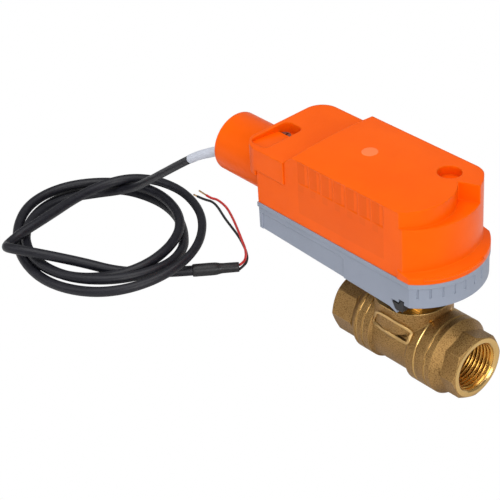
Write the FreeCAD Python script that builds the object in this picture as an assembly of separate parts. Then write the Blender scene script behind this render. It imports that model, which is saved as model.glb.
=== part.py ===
import FreeCAD, Part
import math
import os
from FreeCAD import Vector

# Motorized zone valve: a brass two-way ball valve with a latched electric actuator and its cable.
# Modelled about the stem axis: X runs along the pipe, Y across it, Z up the stem. Millimetres.

# Valve
BODY_HALF = 34.5            # pipe axis, centre to each end face
HEX_FLAT = 13.03            # octagon ends, half across flats
FACE_R = 12.6               # chamfer circle on the end faces
FRONT_OCT_X = 27.0          # where the front octagon starts
REAR_OCT_X = -23.0          # where the rear octagon ends
CONE_DROP = 3.6             # axial length of the cones behind the octagons
JOINT_X = 15.0              # plane where the end piece meets the body
COLLAR_R = 16.4             # turned collar of the end piece and the body beside it
REAR_COLLAR_R = COLLAR_R - 0.5
BARREL_R = 14.6
BARREL_HALF = 10.0
RING_GROOVE = 0.5           # depth and half width of the turned grooves
FRONT_GROOVE_X = 20.5
REAR_GROOVES_X = (-14.5, -18.0)
PORT_R = 10.2               # thread wall of the half inch pipe ports
PORT_DEPTH = 13.6
PORT_CHAMFER_R = 10.9
GAUGE_DEPTH = 8.1           # gauge plane of the pipe thread, inside the front face
BORE_R = 7.5
BALL_R = 12.0
BALL_GAP = 0.3
CAVITY_R = 12.6
SEAT_OUTER_R = 11.3
SEAT_INNER_R = 7.8
SEAT_BACK = 12.4            # axial distance of the seat's back from the centre
SEAT_FRONT = 6.6
SPIGOT_X = 7.0
NECK_R = 16.0
NECK_FLAT = 15.6
NECK_TOP = 20.0
NECK_LOW = 2.0
NECK_STRAIGHT = 10.0
FRAME_X = (-8.3, 10.0)      # raised frame on the near side of the barrel
FRAME_R = 16.0
FRAME_LOW_Z = 6.2
FRAME_TOP_Z = 11.6
FRAME_RIM = 1.3
FRAME_RECESS = 0.8

# Mounting head and stem
HEAD_R = 10.5
HEAD_GROOVE_R = 9.0
HEAD_GROOVE = (27.0, 29.6)
HEAD_TOP = 32.2
STEM_R = 4.0
STEM_RUNNING = 0.05
STEM_COLLAR_R = 5.5
STEM_COLLAR = (12.3, 14.3)
WASHER_T = 0.6
WASHER_GAP = 0.05           # running clearance over the stem's collar
STEM_TOP = 36.0
STEM_FLAT = 2.9
TANG_HALF = (4.6, 1.9)
TANG_DEPTH = 3.6
SEAL_Z = (17.2, 22.2)
SEAL_WIRE_R = 0.8
SEAL_SQUEEZE = 0.04

# Actuator housing
WALL = 2.0
SIDE_Y = 22.4
BAND_PROUD = 0.4
REAR_X = -66.5
BASE_BOTTOM = 33.0
BASE_FLOOR = BASE_BOTTOM + WALL
BASE_H = 11.2               # underside of the base to the seam under the cover
SEAM_Z = BASE_BOTTOM + BASE_H
REACH = 90.0                # cutting blocks reach this far from the stem
NOSE_X = 2.5                # centre of the round nose of the base
NOSE_R = 27.8
BAND_H = 2.0
SKIRT_REAR_Z = 31.9
SKIRT_MID = (8.4, 28.9)
SKIRT_END = (12.3, 27.5)
SKIRT_BACK = 9.0
GROOVE_FIRST = -47.0
GROOVE_STEP = 10.3
GROOVE_COUNT = 8
LABEL_X = (-64.6, -17.0)
LABEL_TOP = SEAM_Z - 4.7
LABEL_DEPTH = 0.4
COVER_TOP = 74.2
CROWN = 1.0
DRUM_X = -2.0
DRUM_R = 28.5
FAR_CORNER_R = 9.0
LIP_X = 13.0                # the flange lip starts at the near corner of the drum
LIP_TOP = SEAM_Z + 2.7
SHELF_TOP = LIP_TOP + 2.1
LEDGE_DROP = 7.0
CAP_X, CAP_Y, CAP_R = 2.7, -6.5, 19.4
LEDGE_WALL = ((17.0, 8.3), (24.0, 11.5))
RECESS = (8.8, 10.9, 4.9, 3.5)   # x, y, radius and depth of the blind round recess
REAR_STEP_X = -49.7
REAR_STEP_Z = 59.5
RAMP_X = -44.5
RAMP_LOW_Z = 69.8
BANDS_X = -41.8
BAND_PITCH = 6.88
BAND_COUNT = 7
BANDS_Z = (64.0, 73.6)
BAND_RELIEF = 0.35

# Rear conduit cover
CONDUIT_X = -75.0
CONDUIT_Y = 22.9
CONDUIT_TOP = 69.8
CONDUIT_LOW = 57.0
CONDUIT_CORNER = 8.5
CONDUIT_GAP = 0.3
STUB_X = -104.4
STUB_Z = 48.3
STUB_R = 13.3
STUB_BORE = 10.2
POCKET_X = (-73.0, -63.0)
POCKET_Y = (-20.0, 1.4)
POCKET_DEPTH = 5.0
POCKET_SHALLOW = 2.2
POCKET_R = 3.0
SCREW_X, SCREW_Y = -69.5, -3.5
SCREW_HEAD = (2.6, 1.8)
SCREW_SHANK_R = 1.2
LUG_TOP = 63.5
LUG_HALF = 4.0
LUG_END_X = -72.5
CABLE_HOLE_R = 4.0

# Latch
SOCKET_R = 15.6
SOCKET_BORE = 10.8
SOCKET_LOW = 25.6
LATCH_Z = (27.3, 29.3)
LATCH_GAP = 0.3
LATCH_TRAVEL = 2.5
LATCH_HALF = 13.4
LATCH_WINDOW = 10.9
LATCH_LIP_Y = 9.4
LATCH_LIP_W = 2.0
PAD_T = 2.0
PAD_X = (1.5, 12.5)
PAD_Z = (23.2, 32.4)
FINGER_X = (13.6, 16.0)
FINGER_Y = (-22.4, -17.9)
FINGER_Z = (24.5, 34.3)

# Gear train: module, teeth and centres, from the ball stem back to the motor
MODULE = 0.8
BACKLASH = 0.24
OUTPUT_TEETH, WHEEL2_TEETH, WHEEL1_TEETH = 45, 36, 30
PINION2_TEETH, PINION1_TEETH, MOTOR_TEETH = 12, 12, 10
GEAR2_Y, GEAR1_Y, MOTOR_Y = 3.7, -6.0, -10.0
STAGE3_Z = (37.0, 41.0)
STAGE2_Z = (42.0, 44.6)
STAGE1_Z = (45.8, 48.4)
HUB_R, HUB_LOW = 3.2, 1.2   # gear hubs, and how far they stand below their pinions
BOSS_R, HUB_GAP = 3.0, 0.3   # bosses under the hubs
AXLE_R = 1.5
AXLE_RUNNING = 0.05
PLATE_Z = 50.0
PLATE_T = 1.5
POST_R = 2.2
POSTS = ((-60.0, -17.0), (-60.0, 17.0), (14.5, -16.5), (14.5, 16.5))
LIGHTEN_AT, LIGHTEN_R = 11.6, 2.6   # holes that lighten the output gear
DRIVE_R = 9.0
DRIVE_LOW = 32.6
DRIVE_SHOULDER = 36.7
DRIVE_BOSS_R = 6.0
DRIVE_BOSS_TOP = 43.0
JOURNAL_R = 3.0
MOTOR_R = 10.0
MOTOR_H = 14.5
MOTOR_SHAFT_R = 1.0
BOARD_Z = 67.6
BOARD_T = 1.6
BOARD_X = (-42.5, 13.0)
BOARD_HALF_Y = 19.0
BOARD_POSTS = ((-39.0, 16.0), (-39.0, -16.0), (9.5, -16.8))
CAP_SPOTS = ((-4.0, -11.0), (9.5, -8.0), (-12.0, 11.5))
CAP_SIZE = (6.0, 14.0)
BLOCK_X = (-60.5, -52.0)
BLOCK_HALF_Y = 9.0
BLOCK_H = 5.6
TERMINAL_PITCH = 5.8
TERMINAL_INSET = 5.5
TERMINAL_R = (1.6, 1.5)      # screw wells and wire mouths

# Cable
CABLE_R = 2.3
SLEEVE_T = 0.25
SLEEVE_GAP = 0.06
GLAND_X = -80.0
FLOOR_Z = -COLLAR_R         # plane that the valve and its cable lie on
REST_Z = FLOOR_Z + CABLE_R
SHRINK_R = (2.9, 2.35)
SHRINK_L = (11.0, 10.0)
WIRE_R = 0.6
WIRE_Z = FLOOR_Z + WIRE_R
TIP_R = 0.4
RED_TIP_L, BLACK_TIP_L = 6.0, 2.6

LEAD = [(GLAND_X, 0, STUB_Z), (-90, 0, STUB_Z), (-100.4, -4.6, 46.2), (-112.9, -9, 43.6),
        (-123, -7.4, 37), (-135.1, -8.2, 28.1), (-147.9, -7.9, 18.3), (-163, -7.6, 6.3),
        (-176, -7.2, -3.2), (-185.5, -8.1, -8.4), (-194.5, -14.4, -10.6)]
LEAD_RUN = 8.5              # last run of the lead, in line with the first loose turn
SLEEVE_SKIP_COUNT = 4       # runs and arcs of the lead ahead of the marker sleeve
SLEEVE_EDGE_COUNT = 4       # and those that it covers

# Left, bottom, right and top point of each loose turn: x, y, height of the strand above the
# floor, and the way that it heads in degrees
TURNS = [(-199.4, -36.2, 5.7, -91.2), (-161.6, -69.5, 5.25, -2.9), (-126.6, -17.9, 5.3, 120.0),
         (-159.7, 2.3, 0.0, 165.1), (-207.4, -32.3, 0.0, -88.9), (-161.6, -64.9, 0.0, 2.8),
         (-128.6, -32.6, 6.2, 97.8), (-169.1, 1.5, 7.2, 181.7), (-206.3, -34.0, 7.8, -92.3),
         (-165.1, -73.4, 0.0, -5.3), (-114.0, -31.0, 8.2, 99.5), (-163.4, 4.5, 12.7, 191.6)]

TAIL_RUN = 5.5              # first run of the tail, in line with the last loose turn
TAIL = [(-179.3, -1.3, -1.5), (-186.5, -7.8, -2.4), (-189.2, -19.8, -4.2), (-190.1, -32.1, -4.4),
        (-185.3, -45.4, -3.4), (-181.2, -60.7, -2.9), (-185.2, -70.6, -4.5), (-195, -76.2, -4.5),
        (-190.2, -85.8, -1.1), (-180.4, -80.4, 1.3), (-173.5, -78.8, -1.3), (-159.7, -67.8, -3.4),
        (-148.3, -58.5, -7.1), (-138.4, -48.1, -11.2), (-129.7, -37.9, -14), (-121, -29.6, -13.5),
        (-115.4, -22.6, -13.5)]

RED_WIRE = [(-102.8, -5.7, -13.5), (-101.2, -3.7, -13.5), (-101.9, -0.9, -13.5),
            (-105.4, 1.4, -13.9), (-111.5, 5.7, -14.3), (-118.4, 9.6, -14.2),
            (-125.8, 13.8, -14.3), (-135.8, 19.4, -15.1), (-145.8, 24.3, WIRE_Z),
            (-152, 26, WIRE_Z), (-157, 25.7, WIRE_Z), (-161.5, 25.8, WIRE_Z)]
BLACK_WIRE = [(-101.7, -6.7, -13.5), (-99.9, -4.5, -13.7), (-100.5, -1.6, -14.6),
              (-104.2, 1.6, -15.6), (-110, 5, WIRE_Z), (-116, 8.5, WIRE_Z), (-123.8, 12.2, WIRE_Z),
              (-131.6, 14.9, WIRE_Z), (-140.4, 17.9, WIRE_Z), (-149.7, 21.7, WIRE_Z),
              (-155.6, 23, WIRE_Z), (-160, 22.1, WIRE_Z), (-164.2, 21.4, WIRE_Z)]


def cylinder(r, z0, z1, x=0.0, y=0.0):
    return Part.makeCylinder(r, z1 - z0, Vector(x, y, z0))


def along_x(r, x0, x1, y=0.0, z=0.0):
    return Part.makeCylinder(r, x1 - x0, Vector(x0, y, z), Vector(1, 0, 0))


def box(x0, x1, y0, y1, z0, z1):
    return Part.makeBox(x1 - x0, y1 - y0, z1 - z0, Vector(x0, y0, z0))


def prism(points, z0, z1):
    wire = Part.makePolygon([Vector(x, y, z0) for x, y in points + points[:1]])
    return Part.Face(wire).extrude(Vector(0, 0, z1 - z0))


def side_prism(points, y0, y1):
    wire = Part.makePolygon([Vector(x, y0, z) for x, z in points + points[:1]])
    return Part.Face(wire).extrude(Vector(0, y1 - y0, 0))


def turned(profile):
    """A solid turned about the pipe axis from (x, r) points."""
    wire = Part.makePolygon([Vector(x, 0, r) for x, r in profile + profile[:1]])
    return Part.Face(wire).revolve(Vector(), Vector(1, 0, 0), 360)


def octagon(x0, x1):
    corner = HEX_FLAT / math.cos(math.radians(22.5))
    points = []
    for k in range(9):
        a = math.radians(45 * k)
        points.append(Vector(x0, corner * math.cos(a), corner * math.sin(a)))
    return Part.Face(Part.makePolygon(points)).extrude(Vector(x1 - x0, 0, 0))


def octagon_end(x_face, x_inner):
    """An octagonal wrench end whose outer corners are chamfered to FACE_R."""
    side = 1 if x_face > x_inner else -1
    solid = octagon(min(x_face, x_inner), max(x_face, x_inner))
    corner = HEX_FLAT / math.cos(math.radians(22.5)) + 0.1
    chamfer = (corner - FACE_R) * 0.6
    cone = turned([(x_face, 0), (x_face, FACE_R), (x_face - side * chamfer, corner),
                   (x_inner, corner), (x_inner, 0)])
    return solid.common(cone)


def port_hole(x_face):
    """Thread wall, mouth chamfer and the bore behind it, open to the ball cavity."""
    side = 1 if x_face > 0 else -1
    deep = x_face - side * PORT_DEPTH
    mouth = x_face - side * (PORT_CHAMFER_R - PORT_R)
    return turned([(x_face + side, 0), (x_face + side, PORT_CHAMFER_R + 1), (mouth, PORT_R),
                   (deep, PORT_R), (deep - side * 1.5, BORE_R), (0, BORE_R), (0, 0)])


def ring_groove(x, r):
    return turned([(x - RING_GROOVE, r + 1), (x - RING_GROOVE, r), (x, r - RING_GROOVE),
                   (x + RING_GROOVE, r), (x + RING_GROOVE, r + 1)])


def neck():
    lower = Part.makeCone(BARREL_R - 1.5, NECK_R, NECK_STRAIGHT - NECK_LOW, Vector(0, 0, NECK_LOW))
    upper = cylinder(NECK_R, NECK_STRAIGHT, NECK_TOP)
    flats = box(-NECK_R, NECK_R, -NECK_FLAT, NECK_FLAT, 0, NECK_TOP)
    head = cylinder(HEAD_R, NECK_TOP, HEAD_TOP)
    groove = cylinder(HEAD_R + 1, *HEAD_GROOVE).cut(cylinder(HEAD_GROOVE_R, *HEAD_GROOVE))
    return lower.fuse(upper).common(flats).fuse(head.cut(groove))


def raised_frame():
    """The bordered panel on the near side of the barrel, left bare."""
    x0, x1 = FRAME_X
    ring = along_x(FRAME_R, x0, x1)
    block = ring.common(box(x0, x1, -FRAME_R, 0, FRAME_LOW_Z, FRAME_TOP_Z))
    inner = along_x(FRAME_R + 1, x0 + FRAME_RIM, x1 - FRAME_RIM)
    inner = inner.cut(along_x(FRAME_R - FRAME_RECESS, x0, x1))
    window = box(x0, x1, -FRAME_R - 1, 0, FRAME_LOW_Z + FRAME_RIM, FRAME_TOP_Z - FRAME_RIM)
    return block, inner.common(window)


def valve_body():
    rear_cone = REAR_OCT_X + CONE_DROP
    solid = turned([(REAR_OCT_X, 0), (REAR_OCT_X, HEX_FLAT), (rear_cone, REAR_COLLAR_R),
                    (-BARREL_HALF - 0.8, REAR_COLLAR_R), (-BARREL_HALF, BARREL_R),
                    (BARREL_HALF - 1.2, BARREL_R), (BARREL_HALF + 0.6, COLLAR_R),
                    (JOINT_X - RING_GROOVE, COLLAR_R), (JOINT_X, COLLAR_R - RING_GROOVE),
                    (JOINT_X, 0)])
    solid = solid.fuse(octagon_end(-BODY_HALF, REAR_OCT_X))
    solid = solid.fuse(neck()).cut(along_x(COLLAR_R + 0.1, JOINT_X, NECK_R + 1))
    block, window = raised_frame()
    solid = solid.fuse(block).cut(window)
    for x in REAR_GROOVES_X:
        solid = solid.cut(ring_groove(x, REAR_COLLAR_R))
    solid = solid.cut(along_x(CAVITY_R, -SEAT_FRONT, JOINT_X + 1))
    solid = solid.cut(along_x(SEAT_OUTER_R, -SEAT_BACK, 0))
    solid = solid.cut(port_hole(-BODY_HALF))
    solid = solid.cut(cylinder(STEM_R, 0, HEAD_TOP + 1))
    solid = solid.cut(cylinder(STEM_COLLAR_R + BALL_GAP, 0, STEM_COLLAR[1] + WASHER_T))
    return solid.removeSplitter()


def body_end():
    front_cone = FRONT_OCT_X - CONE_DROP
    solid = turned([(SPIGOT_X, 0), (SPIGOT_X, CAVITY_R), (JOINT_X, CAVITY_R),
                    (JOINT_X, COLLAR_R - RING_GROOVE), (JOINT_X + RING_GROOVE, COLLAR_R),
                    (front_cone, COLLAR_R), (FRONT_OCT_X, HEX_FLAT), (FRONT_OCT_X, 0)])
    solid = solid.fuse(octagon_end(BODY_HALF, FRONT_OCT_X))
    solid = solid.cut(ring_groove(FRONT_GROOVE_X, COLLAR_R))
    solid = solid.cut(along_x(SEAT_OUTER_R, 0, SEAT_BACK))
    solid = solid.cut(port_hole(BODY_HALF))
    seal = ring_seal()
    return solid.cut(seal).removeSplitter()


def ring_seal():
    """Flat seal ring between the end piece and the body."""
    x0 = JOINT_X - 1.6
    return along_x(CAVITY_R, x0, JOINT_X - 0.2).cut(along_x(CAVITY_R - 0.8, x0, JOINT_X))


def seat(side):
    lo, hi = sorted((side * SEAT_FRONT, side * SEAT_BACK))
    ring = along_x(SEAT_OUTER_R, lo, hi).cut(along_x(SEAT_INNER_R, lo - 1, hi + 1))
    return ring.cut(Part.makeSphere(BALL_R + BALL_GAP))


def ball():
    solid = Part.makeSphere(BALL_R).cut(along_x(BORE_R, -BALL_R, BALL_R))
    half_x, half_y = TANG_HALF
    slot = box(-BALL_R, BALL_R, -half_y, half_y, BALL_R - TANG_DEPTH, BALL_R)
    return solid.cut(slot)


def stem():
    half_x, half_y = TANG_HALF
    tang = box(-half_x, half_x, -half_y, half_y, BALL_R - TANG_DEPTH, STEM_COLLAR[0])
    collar = cylinder(STEM_COLLAR_R, *STEM_COLLAR)
    shaft = cylinder(STEM_R - STEM_RUNNING, STEM_COLLAR[1], STEM_TOP)
    flats = box(-STEM_R, STEM_R, -STEM_FLAT, STEM_FLAT, DRIVE_LOW, STEM_TOP)
    shaft = shaft.cut(cylinder(STEM_R, DRIVE_LOW, STEM_TOP).cut(flats))
    solid = tang.fuse(collar).fuse(shaft)
    for z in SEAL_Z:
        inner = STEM_R - SEAL_SQUEEZE - 2 * SEAL_WIRE_R
        groove = cylinder(STEM_R + 1, z - SEAL_WIRE_R, z + SEAL_WIRE_R)
        solid = solid.cut(groove.cut(cylinder(inner, z - SEAL_WIRE_R, z + SEAL_WIRE_R)))
    return solid.removeSplitter()


def stem_seals():
    """Square section rings in the grooves of the stem."""
    outer, inner = STEM_R - SEAL_SQUEEZE, STEM_R - SEAL_SQUEEZE - 2 * SEAL_WIRE_R
    rings = []
    for z in SEAL_Z:
        z0, z1 = z - SEAL_WIRE_R, z + SEAL_WIRE_R
        rings.append(cylinder(outer, z0, z1).cut(cylinder(inner, z0, z1)))
    return Part.makeCompound(rings)


def thrust_washer():
    z0, z1 = STEM_COLLAR[1] + WASHER_GAP, STEM_COLLAR[1] + WASHER_T
    return cylinder(STEM_COLLAR_R, z0, z1).cut(cylinder(STEM_R, z0, z1))


def nose_outline(side_y, nose_r, rear_x):
    """Plan of the base: straight sides from the rear wall into a round nose."""
    dx = math.sqrt(nose_r ** 2 - side_y ** 2)
    a, b = Vector(NOSE_X + dx, -side_y, 0), Vector(NOSE_X + dx, side_y, 0)
    rear_a, rear_b = Vector(rear_x, -side_y, 0), Vector(rear_x, side_y, 0)
    edges = [Part.LineSegment(rear_a, a).toShape(),
             Part.Arc(a, Vector(NOSE_X + nose_r, 0, 0), b).toShape(),
             Part.LineSegment(b, rear_b).toShape(), Part.LineSegment(rear_b, rear_a).toShape()]
    return Part.Face(Part.Wire(edges))


def nose_block(grow, z0, z1):
    face = nose_outline(SIDE_Y + grow, NOSE_R + grow, REAR_X - grow)
    face.translate(Vector(0, 0, z0))
    return face.extrude(Vector(0, 0, z1 - z0))


def skirts():
    """Side skirts that hang below the floor of the base, with their slanted front ends."""
    z_top = BASE_BOTTOM + 0.5
    outline = [(REAR_X, z_top), (REAR_X, SKIRT_REAR_Z), SKIRT_MID, SKIRT_END, (SKIRT_BACK, z_top)]
    near = side_prism(outline, -SIDE_Y, WALL - SIDE_Y)
    far = side_prism(outline, SIDE_Y - WALL, SIDE_Y)
    rear = box(REAR_X, REAR_X + WALL, -SIDE_Y, SIDE_Y, SKIRT_REAR_Z, z_top)
    return [near, far, rear]


def nose_grooves():
    cutters = []
    for k in range(GROOVE_COUNT):
        a = math.radians(GROOVE_FIRST + GROOVE_STEP * k)
        x, y = NOSE_X + NOSE_R * math.cos(a), NOSE_R * math.sin(a)
        cutters.append(cylinder(0.45, BASE_BOTTOM + 4.5, SEAM_Z - BAND_H - 0.5, x, y))
    return cutters


def base_housing():
    solid = nose_block(0, BASE_BOTTOM, SEAM_Z).fuse(nose_block(BAND_PROUD, SEAM_Z - BAND_H, SEAM_Z))
    solid = solid.cut(nose_block(-WALL, BASE_FLOOR, SEAM_Z + 1))
    solid = solid.fuse(skirts())
    socket = cylinder(SOCKET_R, SOCKET_LOW, BASE_BOTTOM + 0.5)
    posts = [cylinder(POST_R, BASE_FLOOR - 0.5, PLATE_Z, x, y) for x, y in POSTS]
    for (x, y), stage in zip(train_centres()[1:3], (STAGE3_Z, STAGE2_Z)):
        posts.append(cylinder(BOSS_R, BASE_FLOOR - 0.5, stage[0] - HUB_LOW - HUB_GAP, x, y))
    solid = solid.fuse([socket] + posts).cut(axle_pins())
    solid = solid.cut(cylinder(SOCKET_BORE, SOCKET_LOW - 1, BASE_BOTTOM))
    solid = solid.cut(cylinder(DRIVE_R + STEM_RUNNING, SOCKET_LOW, BASE_FLOOR + 1))
    z0, z1 = HEAD_GROOVE
    slot_half, slot_far = LATCH_HALF + LATCH_GAP, latch_far_y() + LATCH_TRAVEL + LATCH_GAP
    solid = solid.cut(box(-slot_half, slot_half, -SOCKET_R - 1, slot_far, z0, z1))
    x0, x1 = FINGER_X
    notch_far = FINGER_Y[1] + LATCH_TRAVEL + LATCH_GAP
    solid = solid.cut(box(x0 - LATCH_GAP, x1 + LATCH_GAP, -SIDE_Y - 1, notch_far, BASE_BOTTOM - 1,
                          FINGER_Z[1] + LATCH_GAP))
    label = box(LABEL_X[0], LABEL_X[1], -SIDE_Y - 1, LABEL_DEPTH - SIDE_Y, 0, LABEL_TOP)
    solid = solid.cut(label)
    for cutter in nose_grooves():
        solid = solid.cut(cutter)
    return solid.removeSplitter()


def cover_outline(grow, z):
    """Plan of the cover: straight sides, a round drum and a fuller corner on the far side."""
    side, drum = SIDE_Y + grow, DRUM_R + grow
    corner = FAR_CORNER_R + grow
    dx = math.sqrt(drum ** 2 - side ** 2)
    near = Vector(DRUM_X + dx, -side, z)
    cy = side - corner
    cx = DRUM_X + math.sqrt((drum - corner) ** 2 - cy ** 2)
    ratio = drum / (drum - corner)
    touch = Vector(DRUM_X + (cx - DRUM_X) * ratio, cy * ratio, z)
    half = math.atan2(touch.y - cy, touch.x - cx)
    bend = (half + math.pi / 2) / 2
    corner_mid = Vector(cx + corner * math.cos(bend), cy + corner * math.sin(bend), z)
    far = Vector(cx, side, z)
    rear_a, rear_b = Vector(REAR_X - grow, -side, z), Vector(REAR_X - grow, side, z)
    edges = [Part.LineSegment(rear_a, near).toShape(),
             Part.Arc(near, Vector(DRUM_X + drum, 0, z), touch).toShape(),
             Part.Arc(touch, corner_mid, far).toShape(),
             Part.LineSegment(far, rear_b).toShape(), Part.LineSegment(rear_b, rear_a).toShape()]
    return Part.Face(Part.Wire(edges))


def crowned_slab(top, side):
    """Everything under a roof that is crowned across the housing."""
    a, b = Vector(-REACH, -side, top), Vector(-REACH, side, top)
    foot_a, foot_b = Vector(-REACH, -side, 0), Vector(-REACH, side, 0)
    edges = [Part.Arc(a, Vector(-REACH, 0, top + CROWN), b).toShape(),
             Part.LineSegment(b, foot_b).toShape(), Part.LineSegment(foot_b, foot_a).toShape(),
             Part.LineSegment(foot_a, a).toShape()]
    return Part.Face(Part.Wire(edges)).extrude(Vector(2 * REACH, 0, 0))


def cover_block(grow):
    """The cover's outer form, or its inner form when grow is minus the wall."""
    side = SIDE_Y + grow
    solid = cover_outline(grow, SEAM_Z).extrude(Vector(0, 0, REACH))
    solid = solid.common(crowned_slab(COVER_TOP + grow, side))
    rear = side_prism([(-REACH, REAR_STEP_Z + grow), (REAR_STEP_X - grow, REAR_STEP_Z + grow),
                       (REAR_STEP_X - grow, RAMP_LOW_Z + grow), (RAMP_X - grow, COVER_TOP + grow),
                       (RAMP_X - grow, REACH), (-REACH, REACH)], -REACH, REACH)
    ledge_z = COVER_TOP - LEDGE_DROP + grow
    (wx0, wy0), (wx1, wy1) = LEDGE_WALL
    slope = (wy1 - wy0) / (wx1 - wx0)
    far_y = wy0 + (REACH - wx0) * slope - grow
    region = prism([(CAP_X, -REACH), (REACH, -REACH), (REACH, far_y),
                    (CAP_X, wy0 + (CAP_X - wx0) * slope - grow)], ledge_z, REACH)
    region = region.cut(cylinder(CAP_R + grow, ledge_z - 1, REACH + 1, CAP_X, CAP_Y))
    return solid.cut(rear).cut(region)


def side_bands():
    """Sawtooth relief bands on the near wall of the cover."""
    cutters = []
    for k in range(BAND_COUNT):
        x0 = BANDS_X + BAND_PITCH * k
        x1 = x0 + BAND_PITCH - 0.6
        wedge = prism([(x0, -SIDE_Y - 1), (x0, -SIDE_Y), (x1, BAND_RELIEF - SIDE_Y),
                       (x1, -SIDE_Y - 1)], *BANDS_Z)
        cutters.append(wedge)
    return cutters


def main_cover():
    outer = cover_block(0)
    ahead = box(LIP_X, REACH, -REACH, REACH, 0, REACH)
    lip = nose_block(BAND_PROUD, SEAM_Z, LIP_TOP).common(ahead)
    lip = lip.common(cylinder(NOSE_R + BAND_PROUD, SEAM_Z, LIP_TOP, NOSE_X, 0))
    shelf = Part.makeCone(NOSE_R + BAND_PROUD, NOSE_R - 4.6, SHELF_TOP - LIP_TOP,
                          Vector(NOSE_X, 0, LIP_TOP))
    side = SIDE_Y + BAND_PROUD
    shelf = shelf.common(box(LIP_X, REACH, -side, side, 0, REACH))
    solid = outer.fuse(lip).fuse(shelf)
    solid = solid.cut(cover_block(-WALL))
    solid = solid.cut(cylinder(NOSE_R - WALL, SEAM_Z - 1, LIP_TOP - 0.7, NOSE_X, 0).common(
        box(0, REACH, WALL - SIDE_Y, SIDE_Y - WALL, 0, REACH)))
    x, y, r, depth = RECESS
    boss = cylinder(r + 1.5, COVER_TOP - depth - 1.5, COVER_TOP, x, y)
    solid = solid.fuse(boss).cut(cylinder(r, COVER_TOP - depth, REACH, x, y))
    for cutter in side_bands():
        solid = solid.cut(cutter)
    solid = solid.fuse(lug(0, REAR_STEP_Z))
    solid = solid.cut(along_x(CABLE_HOLE_R, REAR_X - 2, REAR_X + WALL + 1, 0, STUB_Z))
    solid = solid.cut(cylinder(SCREW_SHANK_R, REAR_STEP_Z, LUG_TOP + 1, SCREW_X, SCREW_Y))
    return solid.removeSplitter()


def lug(grow, low):
    """The tongue on the housing that the conduit cover's screw bites into."""
    return box(LUG_END_X - grow, REAR_X + 4 + grow, SCREW_Y - LUG_HALF - grow,
               SCREW_Y + LUG_HALF + grow, low, LUG_TOP + grow)


def conduit_block():
    solid = box(CONDUIT_X, REAR_STEP_X, -CONDUIT_Y, CONDUIT_Y, CONDUIT_LOW, CONDUIT_TOP)
    corners = [e for e in solid.Edges if abs(e.BoundBox.XMax - CONDUIT_X) < 0.01
               and e.BoundBox.ZLength > 1]
    solid = solid.makeFillet(CONDUIT_CORNER, corners)
    seat_cut = box(REAR_X - CONDUIT_GAP, 0, -REACH, REACH, CONDUIT_LOW - 1, REAR_STEP_Z)
    return solid.cut(seat_cut)


def screw_pocket():
    """Scooped pocket: deep at the screw, rising towards its near end."""
    (x0, x1), (y0, y1) = POCKET_X, POCKET_Y
    deep, shallow = CONDUIT_TOP - POCKET_DEPTH, CONDUIT_TOP - POCKET_SHALLOW
    outline = [(y0, REACH), (y0, shallow), (SCREW_Y - 5, deep), (y1, deep), (y1, REACH),
               (y0, REACH)]
    wire = Part.makePolygon([Vector(x0, y, z) for y, z in outline])
    solid = Part.Face(wire).extrude(Vector(x1 - x0, 0, 0))
    uprights = [e for e in solid.Edges if e.BoundBox.ZLength > 10 and e.BoundBox.XLength < 0.1
                and e.BoundBox.YLength < 0.1]
    return solid.makeFillet(POCKET_R, uprights)


def conduit_cover():
    solid = conduit_block()
    hollow = box(POCKET_X[1] + WALL + 0.5, REAR_STEP_X - WALL, WALL - CONDUIT_Y,
                 CONDUIT_Y - WALL, CONDUIT_LOW, CONDUIT_TOP - WALL)
    solid = solid.cut(hollow)
    stub_end = REAR_X - BAND_PROUD - CONDUIT_GAP
    solid = solid.fuse(along_x(STUB_R, STUB_X, stub_end, 0, STUB_Z))
    solid = solid.cut(along_x(STUB_BORE, STUB_X - 1, REAR_X + 1, 0, STUB_Z))
    solid = solid.cut(lug(CONDUIT_GAP, STUB_Z))
    solid = solid.cut(screw_pocket())
    floor_z = CONDUIT_TOP - POCKET_DEPTH
    solid = solid.cut(cylinder(SCREW_SHANK_R + 0.2, LUG_TOP, floor_z + 1, SCREW_X, SCREW_Y))
    return solid.removeSplitter()


def conduit_screw():
    floor_z = CONDUIT_TOP - POCKET_DEPTH
    r, h = SCREW_HEAD
    shank = cylinder(SCREW_SHANK_R, REAR_STEP_Z + 0.5, floor_z, SCREW_X, SCREW_Y)
    head = cylinder(r, floor_z, floor_z + h, SCREW_X, SCREW_Y)
    cross = box(-2, 2, -0.45, 0.45, 0, 2).fuse(box(-0.45, 0.45, -2, 2, 0, 2))
    cross.translate(Vector(SCREW_X, SCREW_Y, floor_z + h - 1.0))
    return head.cut(cross).fuse(shank)


def latch_far_y():
    return LATCH_LIP_Y + LATCH_LIP_W


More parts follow.
